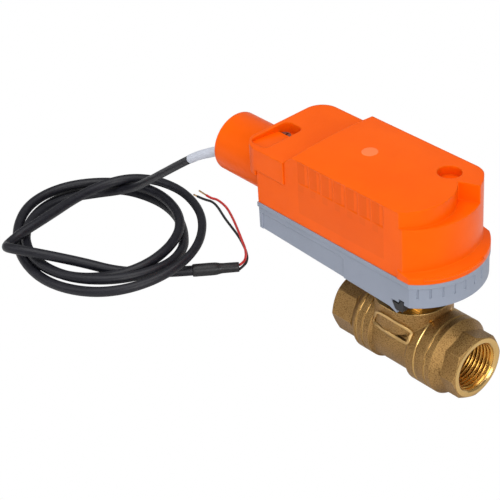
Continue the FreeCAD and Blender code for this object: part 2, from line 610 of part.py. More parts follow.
def release_latch():
    """Sprung slide: a window plate in the head groove, with a thumb pad and finger outside."""
    z0, z1 = LATCH_Z
    near_y = -SOCKET_R - LATCH_GAP - LATCH_TRAVEL
    plate = box(-LATCH_HALF, LATCH_HALF, near_y, latch_far_y(), z0, z1)
    window = cylinder(LATCH_WINDOW, z0 - 1, z1 + 1, 0, -LATCH_TRAVEL)
    window = window.fuse(box(-LATCH_WINDOW, LATCH_WINDOW, -LATCH_TRAVEL, 0, z0 - 1, z1 + 1))
    window = window.fuse(cylinder(LATCH_WINDOW, z0 - 1, z1 + 1, 0, LATCH_LIP_Y - LATCH_WINDOW))
    plate = plate.cut(window)
    centre_y = -LATCH_GAP - LATCH_TRAVEL
    outer = SOCKET_R + PAD_T
    inner = SOCKET_R + LATCH_GAP / 2
    pad = cylinder(outer, *PAD_Z, 0, centre_y).cut(cylinder(inner, *PAD_Z, 0, centre_y))
    pad = pad.common(box(PAD_X[0], PAD_X[1], WALL + LATCH_GAP - SIDE_Y, 0, *PAD_Z))
    pad = pad.cut(side_prism([(PAD_X[0], PAD_Z[0]), (PAD_X[0] + 3, PAD_Z[0]),
                              (PAD_X[0], PAD_Z[0] + 4)], -REACH, 0))
    arm = box(PAD_X[1] - 3, FINGER_X[1], FINGER_Y[1] - PAD_T, FINGER_Y[1], FINGER_Z[0] + 2,
              BASE_BOTTOM - 1)
    finger = box(FINGER_X[0], FINGER_X[1], FINGER_Y[0], FINGER_Y[1], *FINGER_Z)
    tongue = box(PAD_X[0] + 1, PAD_X[1] - 1, near_y - PAD_T / 2, near_y + 4, z0, z1)
    solid = plate.fuse([pad, arm, finger, tongue])
    return solid.removeSplitter()


def pitch_r(teeth):
    return MODULE * teeth / 2.0


def train_centres():
    """Stem, second and first gear axes and the motor axis, each at its centre distance."""
    d2 = pitch_r(OUTPUT_TEETH) + pitch_r(PINION2_TEETH)
    d1 = pitch_r(WHEEL2_TEETH) + pitch_r(PINION1_TEETH)
    d0 = pitch_r(WHEEL1_TEETH) + pitch_r(MOTOR_TEETH)
    g2 = (-math.sqrt(d2 ** 2 - GEAR2_Y ** 2), GEAR2_Y)
    g1 = (g2[0] - math.sqrt(d1 ** 2 - (GEAR1_Y - GEAR2_Y) ** 2), GEAR1_Y)
    motor = (g1[0] + math.sqrt(d0 ** 2 - (MOTOR_Y - GEAR1_Y) ** 2), MOTOR_Y)
    return (0.0, 0.0), g2, g1, motor


def heading(a, b):
    return math.atan2(b[1] - a[1], b[0] - a[0])


def involute(angle):
    return math.tan(angle) - angle


def gear(teeth, centre, z0, z1, facing, gap_there):
    """Spur gear with involute flanks; a tooth, or a gap, points along facing."""
    r = pitch_r(teeth)
    base = r * math.cos(math.radians(20))
    tip, root = r + 0.95 * MODULE, r - 1.25 * MODULE
    half_pitch = math.pi / (2 * teeth) - BACKLASH / (4 * r)
    flank = []
    for radius in (max(base, root + 0.05), r, tip):
        lean = involute(math.radians(20)) - involute(math.acos(min(1.0, base / radius)))
        flank.append((radius, half_pitch + lean))
    start = facing + (math.pi / teeth if gap_there else 0.0)
    points = []
    for k in range(teeth):
        mid = start + 2 * math.pi * k / teeth
        points.append((root, mid - flank[0][1]))
        points += [(radius, mid - half) for radius, half in flank]
        points += [(radius, mid + half) for radius, half in reversed(flank)]
        points.append((root, mid + flank[0][1]))
    outline = [(centre[0] + q * math.cos(a), centre[1] + q * math.sin(a)) for q, a in points]
    return prism(outline, z0, z1)


def output_gear():
    stem_at, g2 = train_centres()[:2]
    wheel = gear(OUTPUT_TEETH, stem_at, *STAGE3_Z, heading(stem_at, g2), False)
    wheel = wheel.cut(cylinder(DRIVE_BOSS_R, *STAGE3_Z))
    lighten = []
    for k in range(6):
        a = math.radians(60 * k)
        lighten.append(cylinder(LIGHTEN_R, *STAGE3_Z, LIGHTEN_AT * math.cos(a),
                                LIGHTEN_AT * math.sin(a)))
    return wheel.cut(Part.makeCompound(lighten))


def compound_gear(centre, low, high, big_teeth, small_teeth, to_low, to_high):
    """A moulded pinion below and wheel above on one hub, bored for its axle."""
    pinion = gear(small_teeth, centre, low[0], high[0], to_low, True)
    wheel = gear(big_teeth, centre, *high, to_high, False)
    x, y = centre
    hub = cylinder(HUB_R, low[0] - HUB_LOW, high[1] + 1.0, x, y)
    bore = cylinder(AXLE_R + AXLE_RUNNING, low[0] - 2, high[1] + 2, x, y)
    return pinion.fuse([wheel, hub]).cut(bore).removeSplitter()


def gear_2():
    stem_at, g2, g1, motor = train_centres()
    return compound_gear(g2, STAGE3_Z, STAGE2_Z, WHEEL2_TEETH, PINION2_TEETH, heading(g2, stem_at),
                         heading(g2, g1))


def gear_1():
    stem_at, g2, g1, motor = train_centres()
    return compound_gear(g1, STAGE2_Z, STAGE1_Z, WHEEL1_TEETH, PINION1_TEETH, heading(g1, g2),
                         heading(g1, motor))


def motor_pinion():
    g1, motor = train_centres()[2:]
    x, y = motor
    low, high = STAGE1_Z[0] - 0.3, STAGE1_Z[1] + 0.3
    pinion = gear(MOTOR_TEETH, motor, low, high, heading(motor, g1), True)
    return pinion.fuse(cylinder(MOTOR_SHAFT_R, low, PLATE_Z + PLATE_T + 4, x, y))


def drive_coupling():
    solid = cylinder(DRIVE_R, DRIVE_LOW, DRIVE_SHOULDER)
    solid = solid.fuse(cylinder(DRIVE_BOSS_R, DRIVE_SHOULDER, DRIVE_BOSS_TOP))
    solid = solid.fuse(cylinder(JOURNAL_R, DRIVE_BOSS_TOP, PLATE_Z + PLATE_T))
    socket = cylinder(STEM_R - STEM_RUNNING, DRIVE_LOW, STEM_TOP)
    flats = box(-STEM_R, STEM_R, -STEM_FLAT, STEM_FLAT, DRIVE_LOW, STEM_TOP)
    solid = solid.cut(socket.common(flats))
    collar = cylinder(DRIVE_R, STAGE3_Z[0] - 0.3, STAGE3_Z[0])
    return solid.fuse(collar).removeSplitter()


def axle_pins():
    pins = []
    for x, y in train_centres()[1:3]:
        pins.append(cylinder(AXLE_R, BASE_FLOOR, PLATE_Z, x, y))
    return Part.makeCompound(pins)


def gear_plate():
    plate = cover_outline(-WALL - 0.4, PLATE_Z).extrude(Vector(0, 0, PLATE_T))
    plate = plate.cut(cylinder(JOURNAL_R + AXLE_RUNNING, PLATE_Z - 1, PLATE_Z + 3))
    x, y = train_centres()[3]
    plate = plate.cut(cylinder(MOTOR_SHAFT_R + 0.4, PLATE_Z - 1, PLATE_Z + 3, x, y))
    posts = [cylinder(1.6, PLATE_Z + PLATE_T, BOARD_Z, px, py) for px, py in BOARD_POSTS]
    return plate.fuse(posts)


def motor():
    x, y = train_centres()[3]
    low = PLATE_Z + PLATE_T
    can = cylinder(MOTOR_R, low, low + MOTOR_H, x, y)
    top = [e for e in can.Edges if abs(e.BoundBox.ZMin - low - MOTOR_H) < 0.01]
    can = can.makeFillet(1.0, top)
    return can.cut(cylinder(MOTOR_SHAFT_R + AXLE_RUNNING, low - 1, low + 4.3, x, y))


def circuit_board():
    board = box(BOARD_X[0], BOARD_X[1], -BOARD_HALF_Y, BOARD_HALF_Y, BOARD_Z, BOARD_Z + BOARD_T)
    x, y, r, depth = RECESS
    return board.cut(cylinder(r + 2.2, BOARD_Z - 1, BOARD_Z + 5, x, y))


def capacitors():
    r, h = CAP_SIZE
    cans = [cylinder(r, BOARD_Z - h, BOARD_Z, x, y) for x, y in CAP_SPOTS]
    return Part.makeCompound(cans)


def terminal_block():
    low = PLATE_Z + PLATE_T
    block = box(BLOCK_X[0], BLOCK_X[1], -BLOCK_HALF_Y, BLOCK_HALF_Y, low, low + BLOCK_H)
    for k in (-1, 0, 1):
        y = TERMINAL_PITCH * k
        well, mouth = TERMINAL_R
        block = block.cut(cylinder(well, low + 2.5, low + BLOCK_H + 1,
                                   BLOCK_X[0] + TERMINAL_INSET, y))
        block = block.cut(along_x(mouth, BLOCK_X[0] - 1, BLOCK_X[0] + 3, y, low + 2.4))
    return block


def strain_relief():
    """Tapered rubber gland in the housing's rear wall, round the cable."""
    face = REAR_X - BAND_PROUD - 0.1
    foot = face - 1.2
    cone = Part.makeCone(CABLE_HOLE_R, CABLE_R + 0.8, foot - GLAND_X, Vector(foot, 0, STUB_Z),
                         Vector(-1, 0, 0))
    plug = along_x(CABLE_HOLE_R, face, REAR_X + WALL, 0, STUB_Z)
    flange = along_x(CABLE_HOLE_R + 1.2, foot, face, 0, STUB_Z)
    return cone.fuse([plug, flange])


def unit(v):
    w = Vector(v)
    w.normalize()
    return w


def rounded_route(points):
    """Straight runs joined by tangent arcs, and the radii of the arcs."""
    pts = [Vector(*p) for p in points]
    edges, radii, last = [], [], pts[0]
    for a, b, c in zip(pts, pts[1:], pts[2:]):
        u, v = unit(b - a), unit(c - b)
        turn = u.getAngle(v)
        cut = 0.45 * min((b - a).Length, (c - b).Length)
        radii.append(cut / math.tan(turn / 2))
        p, q = b - u * cut, b + v * cut
        w = math.cos(turn / 2)
        mid = (p + q + b * (2 * w)) * (1 / (2 + 2 * w))
        edges.append(Part.LineSegment(last, p).toShape())
        edges.append(Part.Arc(p, mid, q).toShape())
        last = q
    edges.append(Part.LineSegment(last, pts[-1]).toShape())
    return Part.Wire(edges), radii


def biarc(p0, t0, p1, t1):
    """Two tangent arcs from p0 heading t0 to p1 heading t1."""
    v, t = p1 - p0, t0 + t1
    k = 2 * (1 - t0.dot(t1))
    d = (-v.dot(t) + math.sqrt(v.dot(t) ** 2 + k * v.dot(v))) / k
    q0, q1 = p0 + t0 * d, p1 - t1 * d
    join = (q0 + q1) * 0.5
    edges = []
    for a, corner, b in ((p0, q0, join), (join, q1, p1)):
        w = math.cos((corner - a).getAngle(b - corner) / 2)
        mid = (a + b + corner * (2 * w)) * (1 / (2 + 2 * w))
        edges.append(Part.Arc(a, mid, b).toShape())
    return edges


def turn_points():
    """Quarter points of the loose turns, each with its heading."""
    points = []
    for x, y, height, degrees in TURNS:
        a = math.radians(degrees)
        points.append((Vector(x, y, REST_Z + height), Vector(math.cos(a), math.sin(a), 0)))
    return points


def coil_ends():
    """Where the lead meets the loose turns and where the tail leaves them, with the headings."""
    points = turn_points()
    (first, way), (last, out) = points[0], points[-1]
    return first - way * 2 * CABLE_R, way, last + out * 2 * CABLE_R, out


def coil_route():
    quarters = turn_points()
    start, way, end, out = coil_ends()
    edges = [Part.LineSegment(start, quarters[0][0]).toShape()]
    for (p0, t0), (p1, t1) in zip(quarters, quarters[1:]):
        edges += biarc(p0, t0, p1, t1)
    edges.append(Part.LineSegment(quarters[-1][0], end).toShape())
    return Part.Wire(edges)


def lead_points():
    start, way = coil_ends()[:2]
    return LEAD + [tuple(start - way * LEAD_RUN), tuple(start)]


def tail_points():
    end, out = coil_ends()[2:]
    return [tuple(end), tuple(end + out * TAIL_RUN)] + TAIL


def tube(path, radius):
    start = path.OrderedEdges[0]
    way = start.tangentAt(start.FirstParameter)
    rim = Part.Wire(Part.Circle(start.valueAt(start.FirstParameter), way, radius).toShape())
    return path.makePipeShell([rim], True, False)


def least_gap(path, radius):
    """Least clear distance of a tube from itself, on points one radius apart."""
    points = path.discretize(Distance=radius)
    skip = int(math.pi * 3) + 3
    gap = 1e9
    for i, p in enumerate(points):
        for q in points[i + skip:]:
            gap = min(gap, p.distanceToPoint(q))
    return gap - 2 * radius


def marker_sleeve(lead):
    """Thin sleeve over the first bend of the lead."""
    edges = lead.OrderedEdges[SLEEVE_SKIP_COUNT:SLEEVE_SKIP_COUNT + SLEEVE_EDGE_COUNT]
    path = Part.Wire(edges)
    inner = CABLE_R + SLEEVE_GAP
    return tube(path, inner + SLEEVE_T).cut(tube(path, inner))


def shrink_tube():
    """Heat shrink over the cable's end, thick over the jacket and thin over the cores."""
    before, end = Vector(*TAIL[-2]), Vector(*TAIL[-1])
    thick, thin = SHRINK_R
    long, short = SHRINK_L
    solid = Part.makeCylinder(thick, long, Vector())
    solid = solid.fuse(Part.makeCone(thick, thin, 1.2, Vector(0, 0, long)))
    solid = solid.fuse(Part.makeCylinder(thin, short - 1.2, Vector(0, 0, long + 1.2)))
    solid.Placement = FreeCAD.Placement(end, FreeCAD.Rotation(Vector(0, 0, 1), end - before))
    return solid.removeSplitter()


def bare_tip(route, length):
    before, end = Vector(*route[-2]), Vector(*route[-1])
    return Part.makeCylinder(TIP_R, length, end, end - before)


def save(name, shape):
    moved = shape.copy()
    moved.translate(Vector(GAUGE_DEPTH - BODY_HALF, 0, 0))
    moved.exportStep("parts/" + name + ".step")


def save_cords():
    cords = {"cable_lead": (lead_points(), CABLE_R), "cable_tail": (tail_points(), CABLE_R),
             "red_wire": (RED_WIRE, WIRE_R), "black_wire": (BLACK_WIRE, WIRE_R)}
    for name, (route, radius) in cords.items():
        path, radii = rounded_route(route)
        solid = tube(path, radius)
        share = solid.Volume / (math.pi * radius ** 2 * path.Length)
        print(name, "radii", [round(r, 1) for r in radii], "length", round(path.Length, 1),
              "volume share", round(share, 4))
        save(name, solid)
    coil = coil_route()
    print("cable_coil least self-gap", round(least_gap(coil, CABLE_R), 2),
          "length", round(coil.Length, 1))
    save("cable_coil", tube(coil, CABLE_R))
    save("marker_sleeve", marker_sleeve(rounded_route(lead_points())[0]))
    save("shrink_tube", shrink_tube())
    save("red_tip", bare_tip(RED_WIRE, RED_TIP_L))
    save("black_tip", bare_tip(BLACK_WIRE, BLACK_TIP_L))


def main():
    os.makedirs("parts", exist_ok=True)
    nodes = {"valve_body": valve_body, "body_end": body_end, "body_seal": ring_seal,
             "ball": ball, "stem": stem, "stem_seals": stem_seals, "thrust_washer": thrust_washer,
             "base_housing": base_housing, "main_cover": main_cover,
             "conduit_cover": conduit_cover, "conduit_screw": conduit_screw,
             "release_latch": release_latch, "output_gear": output_gear, "gear_2": gear_2,
             "gear_1": gear_1, "motor_pinion": motor_pinion, "drive_coupling": drive_coupling,
             "axle_pins": axle_pins, "gear_plate": gear_plate, "motor": motor,
             "circuit_board": circuit_board, "capacitors": capacitors,
             "terminal_block": terminal_block, "strain_relief": strain_relief}
    for name, make in nodes.items():
        save(name, make())
    save("seat_rear", seat(-1))
    save("seat_front", seat(1))
    save_cords()


main()
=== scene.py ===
import bpy
import math
import numpy as np
from mathutils import Matrix, Vector
from mathutils.bvhtree import BVHTree


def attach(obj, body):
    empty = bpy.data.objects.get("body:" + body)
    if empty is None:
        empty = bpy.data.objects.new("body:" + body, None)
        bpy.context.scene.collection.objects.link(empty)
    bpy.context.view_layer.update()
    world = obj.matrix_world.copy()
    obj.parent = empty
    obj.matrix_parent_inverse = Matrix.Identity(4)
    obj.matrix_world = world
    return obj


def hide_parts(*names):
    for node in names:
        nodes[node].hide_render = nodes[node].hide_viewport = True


# Looks of the motorized zone valve. The part's frame is in metres with its origin at the front
# port's gauge plane. Measures here are in millimetres about the ball stem, and rowPoints()
# converts them; materials read Object coordinates, so their places are in metres in that frame.
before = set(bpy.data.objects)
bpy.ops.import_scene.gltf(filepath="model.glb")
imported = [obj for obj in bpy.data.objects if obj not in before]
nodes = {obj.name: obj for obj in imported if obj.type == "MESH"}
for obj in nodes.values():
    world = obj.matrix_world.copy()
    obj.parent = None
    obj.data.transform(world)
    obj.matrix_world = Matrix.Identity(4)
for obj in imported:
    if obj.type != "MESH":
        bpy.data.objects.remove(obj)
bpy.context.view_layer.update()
print("frame loaded:", len(nodes), "nodes")

stemX = -26.4
floorZ = -16.4


def rowPoints(points):
    return (np.asarray(points, float) + np.array([stemX, 0.0, 0.0])) * 0.001


# Materials: small helpers that add a node or a few, and return an output socket.
shaderInputs = {"metallic": "Metallic", "specular": "Specular IOR Level", "tint": "Specular Tint",
                "coat": "Coat Weight", "coatRough": "Coat Roughness"}


def startMaterial(name, **settings):
    mat = bpy.data.materials.new(name)
    mat.use_nodes = True
    tree = mat.node_tree
    tree.nodes.clear()
    out = tree.nodes.new("ShaderNodeOutputMaterial")
    shader = tree.nodes.new("ShaderNodeBsdfPrincipled")
    tree.links.new(shader.outputs["BSDF"], out.inputs["Surface"])
    for key, value in settings.items():
        shader.inputs[shaderInputs[key]].default_value = value
    return mat, tree, shader


def objectPlace(tree):
    return tree.nodes.new("ShaderNodeTexCoord").outputs["Object"]


def split(tree, vector):
    node = tree.nodes.new("ShaderNodeSeparateXYZ")
    tree.links.new(vector, node.inputs[0])
    return node.outputs


def noise(tree, at, scale, detail=3.0, rough=0.55):
    node = tree.nodes.new("ShaderNodeTexNoise")
    node.inputs["Scale"].default_value = scale
    node.inputs["Detail"].default_value = detail
    node.inputs["Roughness"].default_value = rough
    tree.links.new(at, node.inputs["Vector"])
    return node.outputs["Fac"]


def pits(tree, at, scale):
    node = tree.nodes.new("ShaderNodeTexVoronoi")
    node.inputs["Scale"].default_value = scale
    tree.links.new(at, node.inputs["Vector"])
    return node.outputs["Distance"]


def calc(tree, kind, a, b=0.0):
    node = tree.nodes.new("ShaderNodeMath")
    node.operation = kind
    for k, value in enumerate((a, b)):
        if hasattr(value, "is_output"):
            tree.links.new(value, node.inputs[k])
        else:
            node.inputs[k].default_value = value
    return node.outputs[0]


def times(tree, a, *others):
    for b in others:
        a = calc(tree, "MULTIPLY", a, b)
    return a


def plus(tree, a, b):
    return calc(tree, "ADD", a, b)


def inverse(tree, a):
    return calc(tree, "SUBTRACT", 1.0, a)


def largest(tree, a, *others):
    for b in others:
        a = calc(tree, "MAXIMUM", a, b)
    return a


# Distance from the pipe axis
def fromAxis(tree, y, z):
    return calc(tree, "POWER", plus(tree, times(tree, y, y), times(tree, z, z)), 0.5)


def spread(tree, value, low, high, outLow=0.0, outHigh=1.0):
    node = tree.nodes.new("ShaderNodeMapRange")
    tree.links.new(value, node.inputs["Value"])
    for key, v in (("From Min", low), ("From Max", high), ("To Min", outLow), ("To Max", outHigh)):
        node.inputs[key].default_value = v
    return node.outputs["Result"]


def smoothStep(tree, value, low, high):
    node = tree.nodes.new("ShaderNodeMapRange")
    node.interpolation_type = "SMOOTHSTEP"
    tree.links.new(value, node.inputs["Value"])
    node.inputs["From Min"].default_value = low
    node.inputs["From Max"].default_value = high
    return node.outputs["Result"]


# 1 between low and high, with soft ends
def band(tree, value, low, high, blur=0.00008):
    return times(tree, smoothStep(tree, value, low - blur, low + blur),
                 inverse(tree, smoothStep(tree, value, high - blur, high + blur)))


def mixColor(tree, fac, a, b):
    node = tree.nodes.new("ShaderNodeMix")
    node.data_type = "RGBA"
    tree.links.new(fac, node.inputs["Factor"])
    for name, value in (("A", a), ("B", b)):
        socket = [s for s in node.inputs if s.name == name and s.type == "RGBA"][0]
        if hasattr(value, "is_output"):
            tree.links.new(value, socket)
        else:
            socket.default_value = (*value, 1.0)
    return [s for s in node.outputs if s.type == "RGBA"][0]


def mixValue(tree, fac, a, b):
    node = tree.nodes.new("ShaderNodeMix")
    for k, value in ((0, fac), (2, a), (3, b)):
        tree.links.new(value, node.inputs[k])
    return node.outputs[0]


def bump(tree, shader, height, distance, strength, under=None):
    node = tree.nodes.new("ShaderNodeBump")
    node.inputs["Distance"].default_value = distance
    node.inputs["Strength"].default_value = strength
    tree.links.new(height, node.inputs["Height"])
    if under is not None:
        tree.links.new(under, node.inputs["Normal"])
    tree.links.new(node.outputs["Normal"], shader.inputs["Normal"])


def softEdge(tree, radius):
    node = tree.nodes.new("ShaderNodeBevel")
    node.samples = 4
    node.inputs["Radius"].default_value = radius
    return node.outputs["Normal"]


# 1 where the softened normal leaves the true one, so on edges; high sets how wide that is
def edgeMask(tree, normal, high=0.10):
    node = tree.nodes.new("ShaderNodeVectorMath")
    node.operation = "DOT_PRODUCT"
    tree.links.new(normal, node.inputs[0])
    tree.links.new(tree.nodes.new("ShaderNodeNewGeometry").outputs["True Normal"], node.inputs[1])
    return spread(tree, node.outputs["Value"], 1.0, 1.0 - high)


# Forged brass with its pits, and the turned brass of faces and rings
brass = {"forged": (0.47, 0.275, 0.098), "shade": 0.78, "dark": (0.19, 0.105, 0.034),
         "turned": (0.66, 0.43, 0.16), "pits": 2300.0, "fine": 2600.0, "patches": 120.0,
         "marks": 5200.0, "rings": 11000.0, "ringShare": 0.22, "roughForged": (0.34, 0.50),
         "roughTurned": (0.16, 0.26), "depth": 0.00020, "turnedCalm": 0.92, "ringDepth": 0.12,
         "edge": 0.0005, "edgeWide": 0.16, "edgeLighter": 0.55}


def brassMaterial(name, machined):
    mat, tree, shader = startMaterial(name, metallic=1.0)
    at = objectPlace(tree)
    x, y, z = split(tree, at)
    mask = machined(tree, x, y, z)
    pit = pits(tree, at, brass["pits"])
    fine = noise(tree, at, brass["fine"], 4.0, 0.7)
    patches = noise(tree, at, brass["patches"])
    rings = calc(tree, "SINE", times(tree, fromAxis(tree, y, z), brass["rings"]))
    lathe = plus(tree, times(tree, noise(tree, at, brass["marks"], 2.0), 0.5),
                 times(tree, rings, brass["ringShare"]))
    soft = softEdge(tree, brass["edge"])
    # Edges mixed part way toward the turned colour
    lighterEdges = times(tree, edgeMask(tree, soft, brass["edgeWide"]), brass["edgeLighter"])
    color = mixColor(tree, spread(tree, patches, 0.3, 0.7), brass["forged"],
                     tuple(brass["shade"] * c for c in brass["forged"]))
    color = mixColor(tree, spread(tree, pit, 0.35, 0.85), color, brass["dark"])
    color = mixColor(tree, mask, color, brass["turned"])
    color = mixColor(tree, lighterEdges, color, brass["turned"])
    tree.links.new(color, shader.inputs["Base Color"])
    rough = mixValue(tree, mask, spread(tree, fine, 0.3, 0.7, *brass["roughForged"]),
                     spread(tree, lathe, 0.3, 0.7, *brass["roughTurned"]))
    tree.links.new(rough, shader.inputs["Roughness"])
    height = plus(tree, times(tree, pit, 0.9), times(tree, fine, 0.5))
    height = times(tree, height, inverse(tree, times(tree, mask, brass["turnedCalm"])))
    height = plus(tree, height, times(tree, lathe, mask, brass["ringDepth"]))
    bump(tree, shader, height, brass["depth"], 0.8, soft)
    return mat


# Where the lathe has cut: each pair is the start and end of a soft step or a band
turnedAt = {"head": (0.0197, 0.0199), "rearFace": (-0.0606, -0.0604), "ringTop": (0.0165, 0.0170),
            "bodyRings": [(-0.0446, -0.0442), (-0.0411, -0.0407), (-0.0118, -0.0113)],
            "mouth": (0.01105, 0.0112), "frontFace": (0.00795, 0.00805),
            "endRings": [(-0.0113, -0.0110), (-0.0061, -0.0057)]}


# 1 on the neck's mounting head, on the rear end face and, below the neck, on the turned rings
def bodyMachined(tree, x, y, z):
    rings = largest(tree, *(band(tree, x, *ring) for ring in turnedAt["bodyRings"]))
    below = inverse(tree, smoothStep(tree, z, *turnedAt["ringTop"]))
    return largest(tree, smoothStep(tree, z, *turnedAt["head"]),
                   inverse(tree, smoothStep(tree, x, *turnedAt["rearFace"])),
                   times(tree, rings, below))


# 1 in the mouth of the port, on the front face and on the two turned rings
def endMachined(tree, x, y, z):
    mouth = inverse(tree, smoothStep(tree, fromAxis(tree, y, z), *turnedAt["mouth"]))
    return largest(tree, mouth, smoothStep(tree, x, *turnedAt["frontFace"]),
                   *(band(tree, x, *ring) for ring in turnedAt["endRings"]))


# The near wall of the orange cover: painted shade for its moulded bands, the ejector marks below
# them and a flat panel, drawn as a darker tone where their relief would be shaded
coverBands = {"wall": (-0.02195, -0.02175), "from": -0.0682, "to": -0.0206, "pitch": 0.00688,
              "rib": {"share": (0.04, 0.60), "z": (0.0640, 0.0739), "tone": 0.75},
              "peg": {"share": (0.05, 0.50), "z": (0.0602, 0.0634), "tone": 0.6},
              "panel": {"z": (0.0495, 0.0640), "tone": 0.35}}


# Painted shade: 1 on the bands, marks and panel, times their tones, only on the near wall
def coverReliefShade(tree, x, y, z):
    bands, panel = coverBands, coverBands["panel"]
    wall = inverse(tree, smoothStep(tree, y, *bands["wall"]))
    across = band(tree, x, bands["from"], bands["to"], 0.0002)
    turn = calc(tree, "FRACT", times(tree, plus(tree, x, -bands["from"]), 1.0 / bands["pitch"]))
    tones = [times(tree, band(tree, z, *panel["z"], 0.0003), panel["tone"])]
    for mark in (bands["rib"], bands["peg"]):
        tones.append(times(tree, band(tree, turn, *mark["share"], 0.02),
                           band(tree, z, *mark["z"], 0.0001), mark["tone"]))
    return times(tree, largest(tree, *tones), wall, across)


# Moulded plastic: faint cloudy tone, fine spark texture, and a painted highlight that makes edges a
# little lighter than the rest
moulding = {"cloud": 45.0, "markShade": 0.86, "edgeHighlight": 1.25, "edgeHighlightShare": 0.8, "bump": 0.35}


def plasticMaterial(name, color, darker, rough, grain, depth, edge, coat=0.0, specular=0.3,
                    tint=(1.0, 1.0, 1.0, 1.0), marks=None):
    mat, tree, shader = startMaterial(name, coat=coat, coatRough=0.3, specular=specular, tint=tint)
    at = objectPlace(tree)
    cloud = noise(tree, at, moulding["cloud"], 4.0, 0.6)
    speck = noise(tree, at, grain, 2.0, 0.6)
    tone = mixColor(tree, spread(tree, cloud, 0.35, 0.65), color, darker)
    if marks is not None:
        # marks: painted shade, a darker tone where moulded relief would be shaded
        tone = mixColor(tree, marks(tree, *split(tree, at)), tone,
                        tuple(moulding["markShade"] * c for c in darker))
    soft = softEdge(tree, edge)
    # Painted highlight: edges mixed toward a lighter copy of the colour
    paintedHighlight = tuple(min(1.0, moulding["edgeHighlight"] * c + 0.004) for c in color)
    tone = mixColor(tree, times(tree, edgeMask(tree, soft), moulding["edgeHighlightShare"]), tone, paintedHighlight)
    tree.links.new(tone, shader.inputs["Base Color"])
    tree.links.new(spread(tree, speck, 0.3, 0.7, rough - 0.05, rough + 0.07),
                   shader.inputs["Roughness"])
    bump(tree, shader, speck, depth, moulding["bump"], soft)
    return mat


def metalMaterial(name, color, rough, grain=3000.0):
    mat, tree, shader = startMaterial(name, metallic=1.0)
    marks = noise(tree, objectPlace(tree), grain)
    tone = mixColor(tree, spread(tree, marks, 0.3, 0.7), color, tuple(0.85 * c for c in color))
    tree.links.new(tone, shader.inputs["Base Color"])
    tree.links.new(spread(tree, marks, 0.3, 0.7, rough - 0.05, rough + 0.06),
                   shader.inputs["Roughness"])
    bump(tree, shader, marks, 0.00002, 0.3, softEdge(tree, 0.00015))
    return mat


# Extruded jacket: soft sheen with faint scuffs
def jacketMaterial(name, color, rough, grain):
    mat, tree, shader = startMaterial(name, specular=0.36)
    at = objectPlace(tree)
    scuff = noise(tree, at, 260.0, 4.0, 0.7)
    tone = mixColor(tree, spread(tree, scuff, 0.45, 0.75), color, tuple(1.7 * c for c in color))
    tree.links.new(tone, shader.inputs["Base Color"])
    tree.links.new(spread(tree, scuff, 0.3, 0.7, rough - 0.06, rough + 0.10),
                   shader.inputs["Roughness"])
    bump(tree, shader, noise(tree, at, grain, 2.0), 0.00004, 0.4)
    return mat


plastics = {
    "orangePlastic": {"color": (0.90, 0.112, 0.001), "darker": (0.85, 0.100, 0.001), "rough": 0.36,
                      "grain": 2600.0, "depth": 0.00005, "edge": 0.0009,
                      "tint": (1.0, 0.35, 0.06, 1.0), "marks": coverReliefShade},
    "greyPlastic": {"color": (0.265, 0.295, 0.365), "darker": (0.245, 0.275, 0.34), "rough": 0.45,
                    "grain": 2400.0, "depth": 0.00005, "edge": 0.0004},
    "blackPlastic": {"color": (0.012, 0.012, 0.013), "darker": (0.018, 0.018, 0.02), "rough": 0.40,
                     "grain": 2600.0, "depth": 0.00004, "edge": 0.0003},
    "glandRubber": {"color": (0.010, 0.010, 0.011), "darker": (0.016, 0.016, 0.017), "rough": 0.55,
                    "grain": 1800.0, "depth": 0.00005, "edge": 0.0003},
    "gearPlastic": {"color": (0.78, 0.74, 0.62), "darker": (0.74, 0.70, 0.58), "rough": 0.38,
                    "grain": 2600.0, "depth": 0.00003, "edge": 0.0002},
    "seatPlastic": {"color": (0.86, 0.85, 0.81), "darker": (0.82, 0.81, 0.77), "rough": 0.30,
                    "grain": 2600.0, "depth": 0.00002, "edge": 0.0002},
    "boardGreen": {"color": (0.015, 0.13, 0.045), "darker": (0.012, 0.11, 0.04), "rough": 0.25,
                   "grain": 900.0, "depth": 0.00003, "edge": 0.0001, "coat": 0.5},
    "capacitorFilm": {"color": (0.02, 0.025, 0.09), "darker": (0.018, 0.02, 0.075), "rough": 0.25,
                      "grain": 900.0, "depth": 0.00002, "edge": 0.0003, "coat": 0.4},
    "terminalGreen": {"color": (0.03, 0.16, 0.07), "darker": (0.025, 0.14, 0.06), "rough": 0.42,
                      "grain": 2200.0, "depth": 0.00003, "edge": 0.0002},
    "markerWhite": {"color": (0.58, 0.61, 0.69), "darker": (0.54, 0.57, 0.65), "rough": 0.40,
                    "grain": 1600.0, "depth": 0.00002, "edge": 0.0001},
    "gatePale": {"color": (0.92, 0.20, 0.055), "darker": (0.88, 0.17, 0.045), "rough": 0.4,
                 "grain": 2600.0, "depth": 0.00003, "edge": 0.0001}}
metals = {
    "turnedSteel": {"color": (0.62, 0.62, 0.64), "rough": 0.28},
    # Screw: steel grey, darkened and reddened as painted shade of its deep pocket and painted
    # reflection of the orange walls
    "screwSteel": {"color": (0.34, 0.27, 0.24), "rough": 0.42},
    "chromedBall": {"color": (0.82, 0.83, 0.84), "rough": 0.10},
    "motorCan": {"color": (0.60, 0.61, 0.63), "rough": 0.34},
    "bareCopper": {"color": (0.80, 0.50, 0.24), "rough": 0.30},
    # Threads: brass darker and more saturated than the body's, painted shade and painted warm
    # reflection inside the ports
    "threadBrass": {"color": (0.70, 0.38, 0.085), "rough": 0.24, "grain": 4000.0},
    "rimBrass": {"color": (0.66, 0.43, 0.17), "rough": 0.36}}
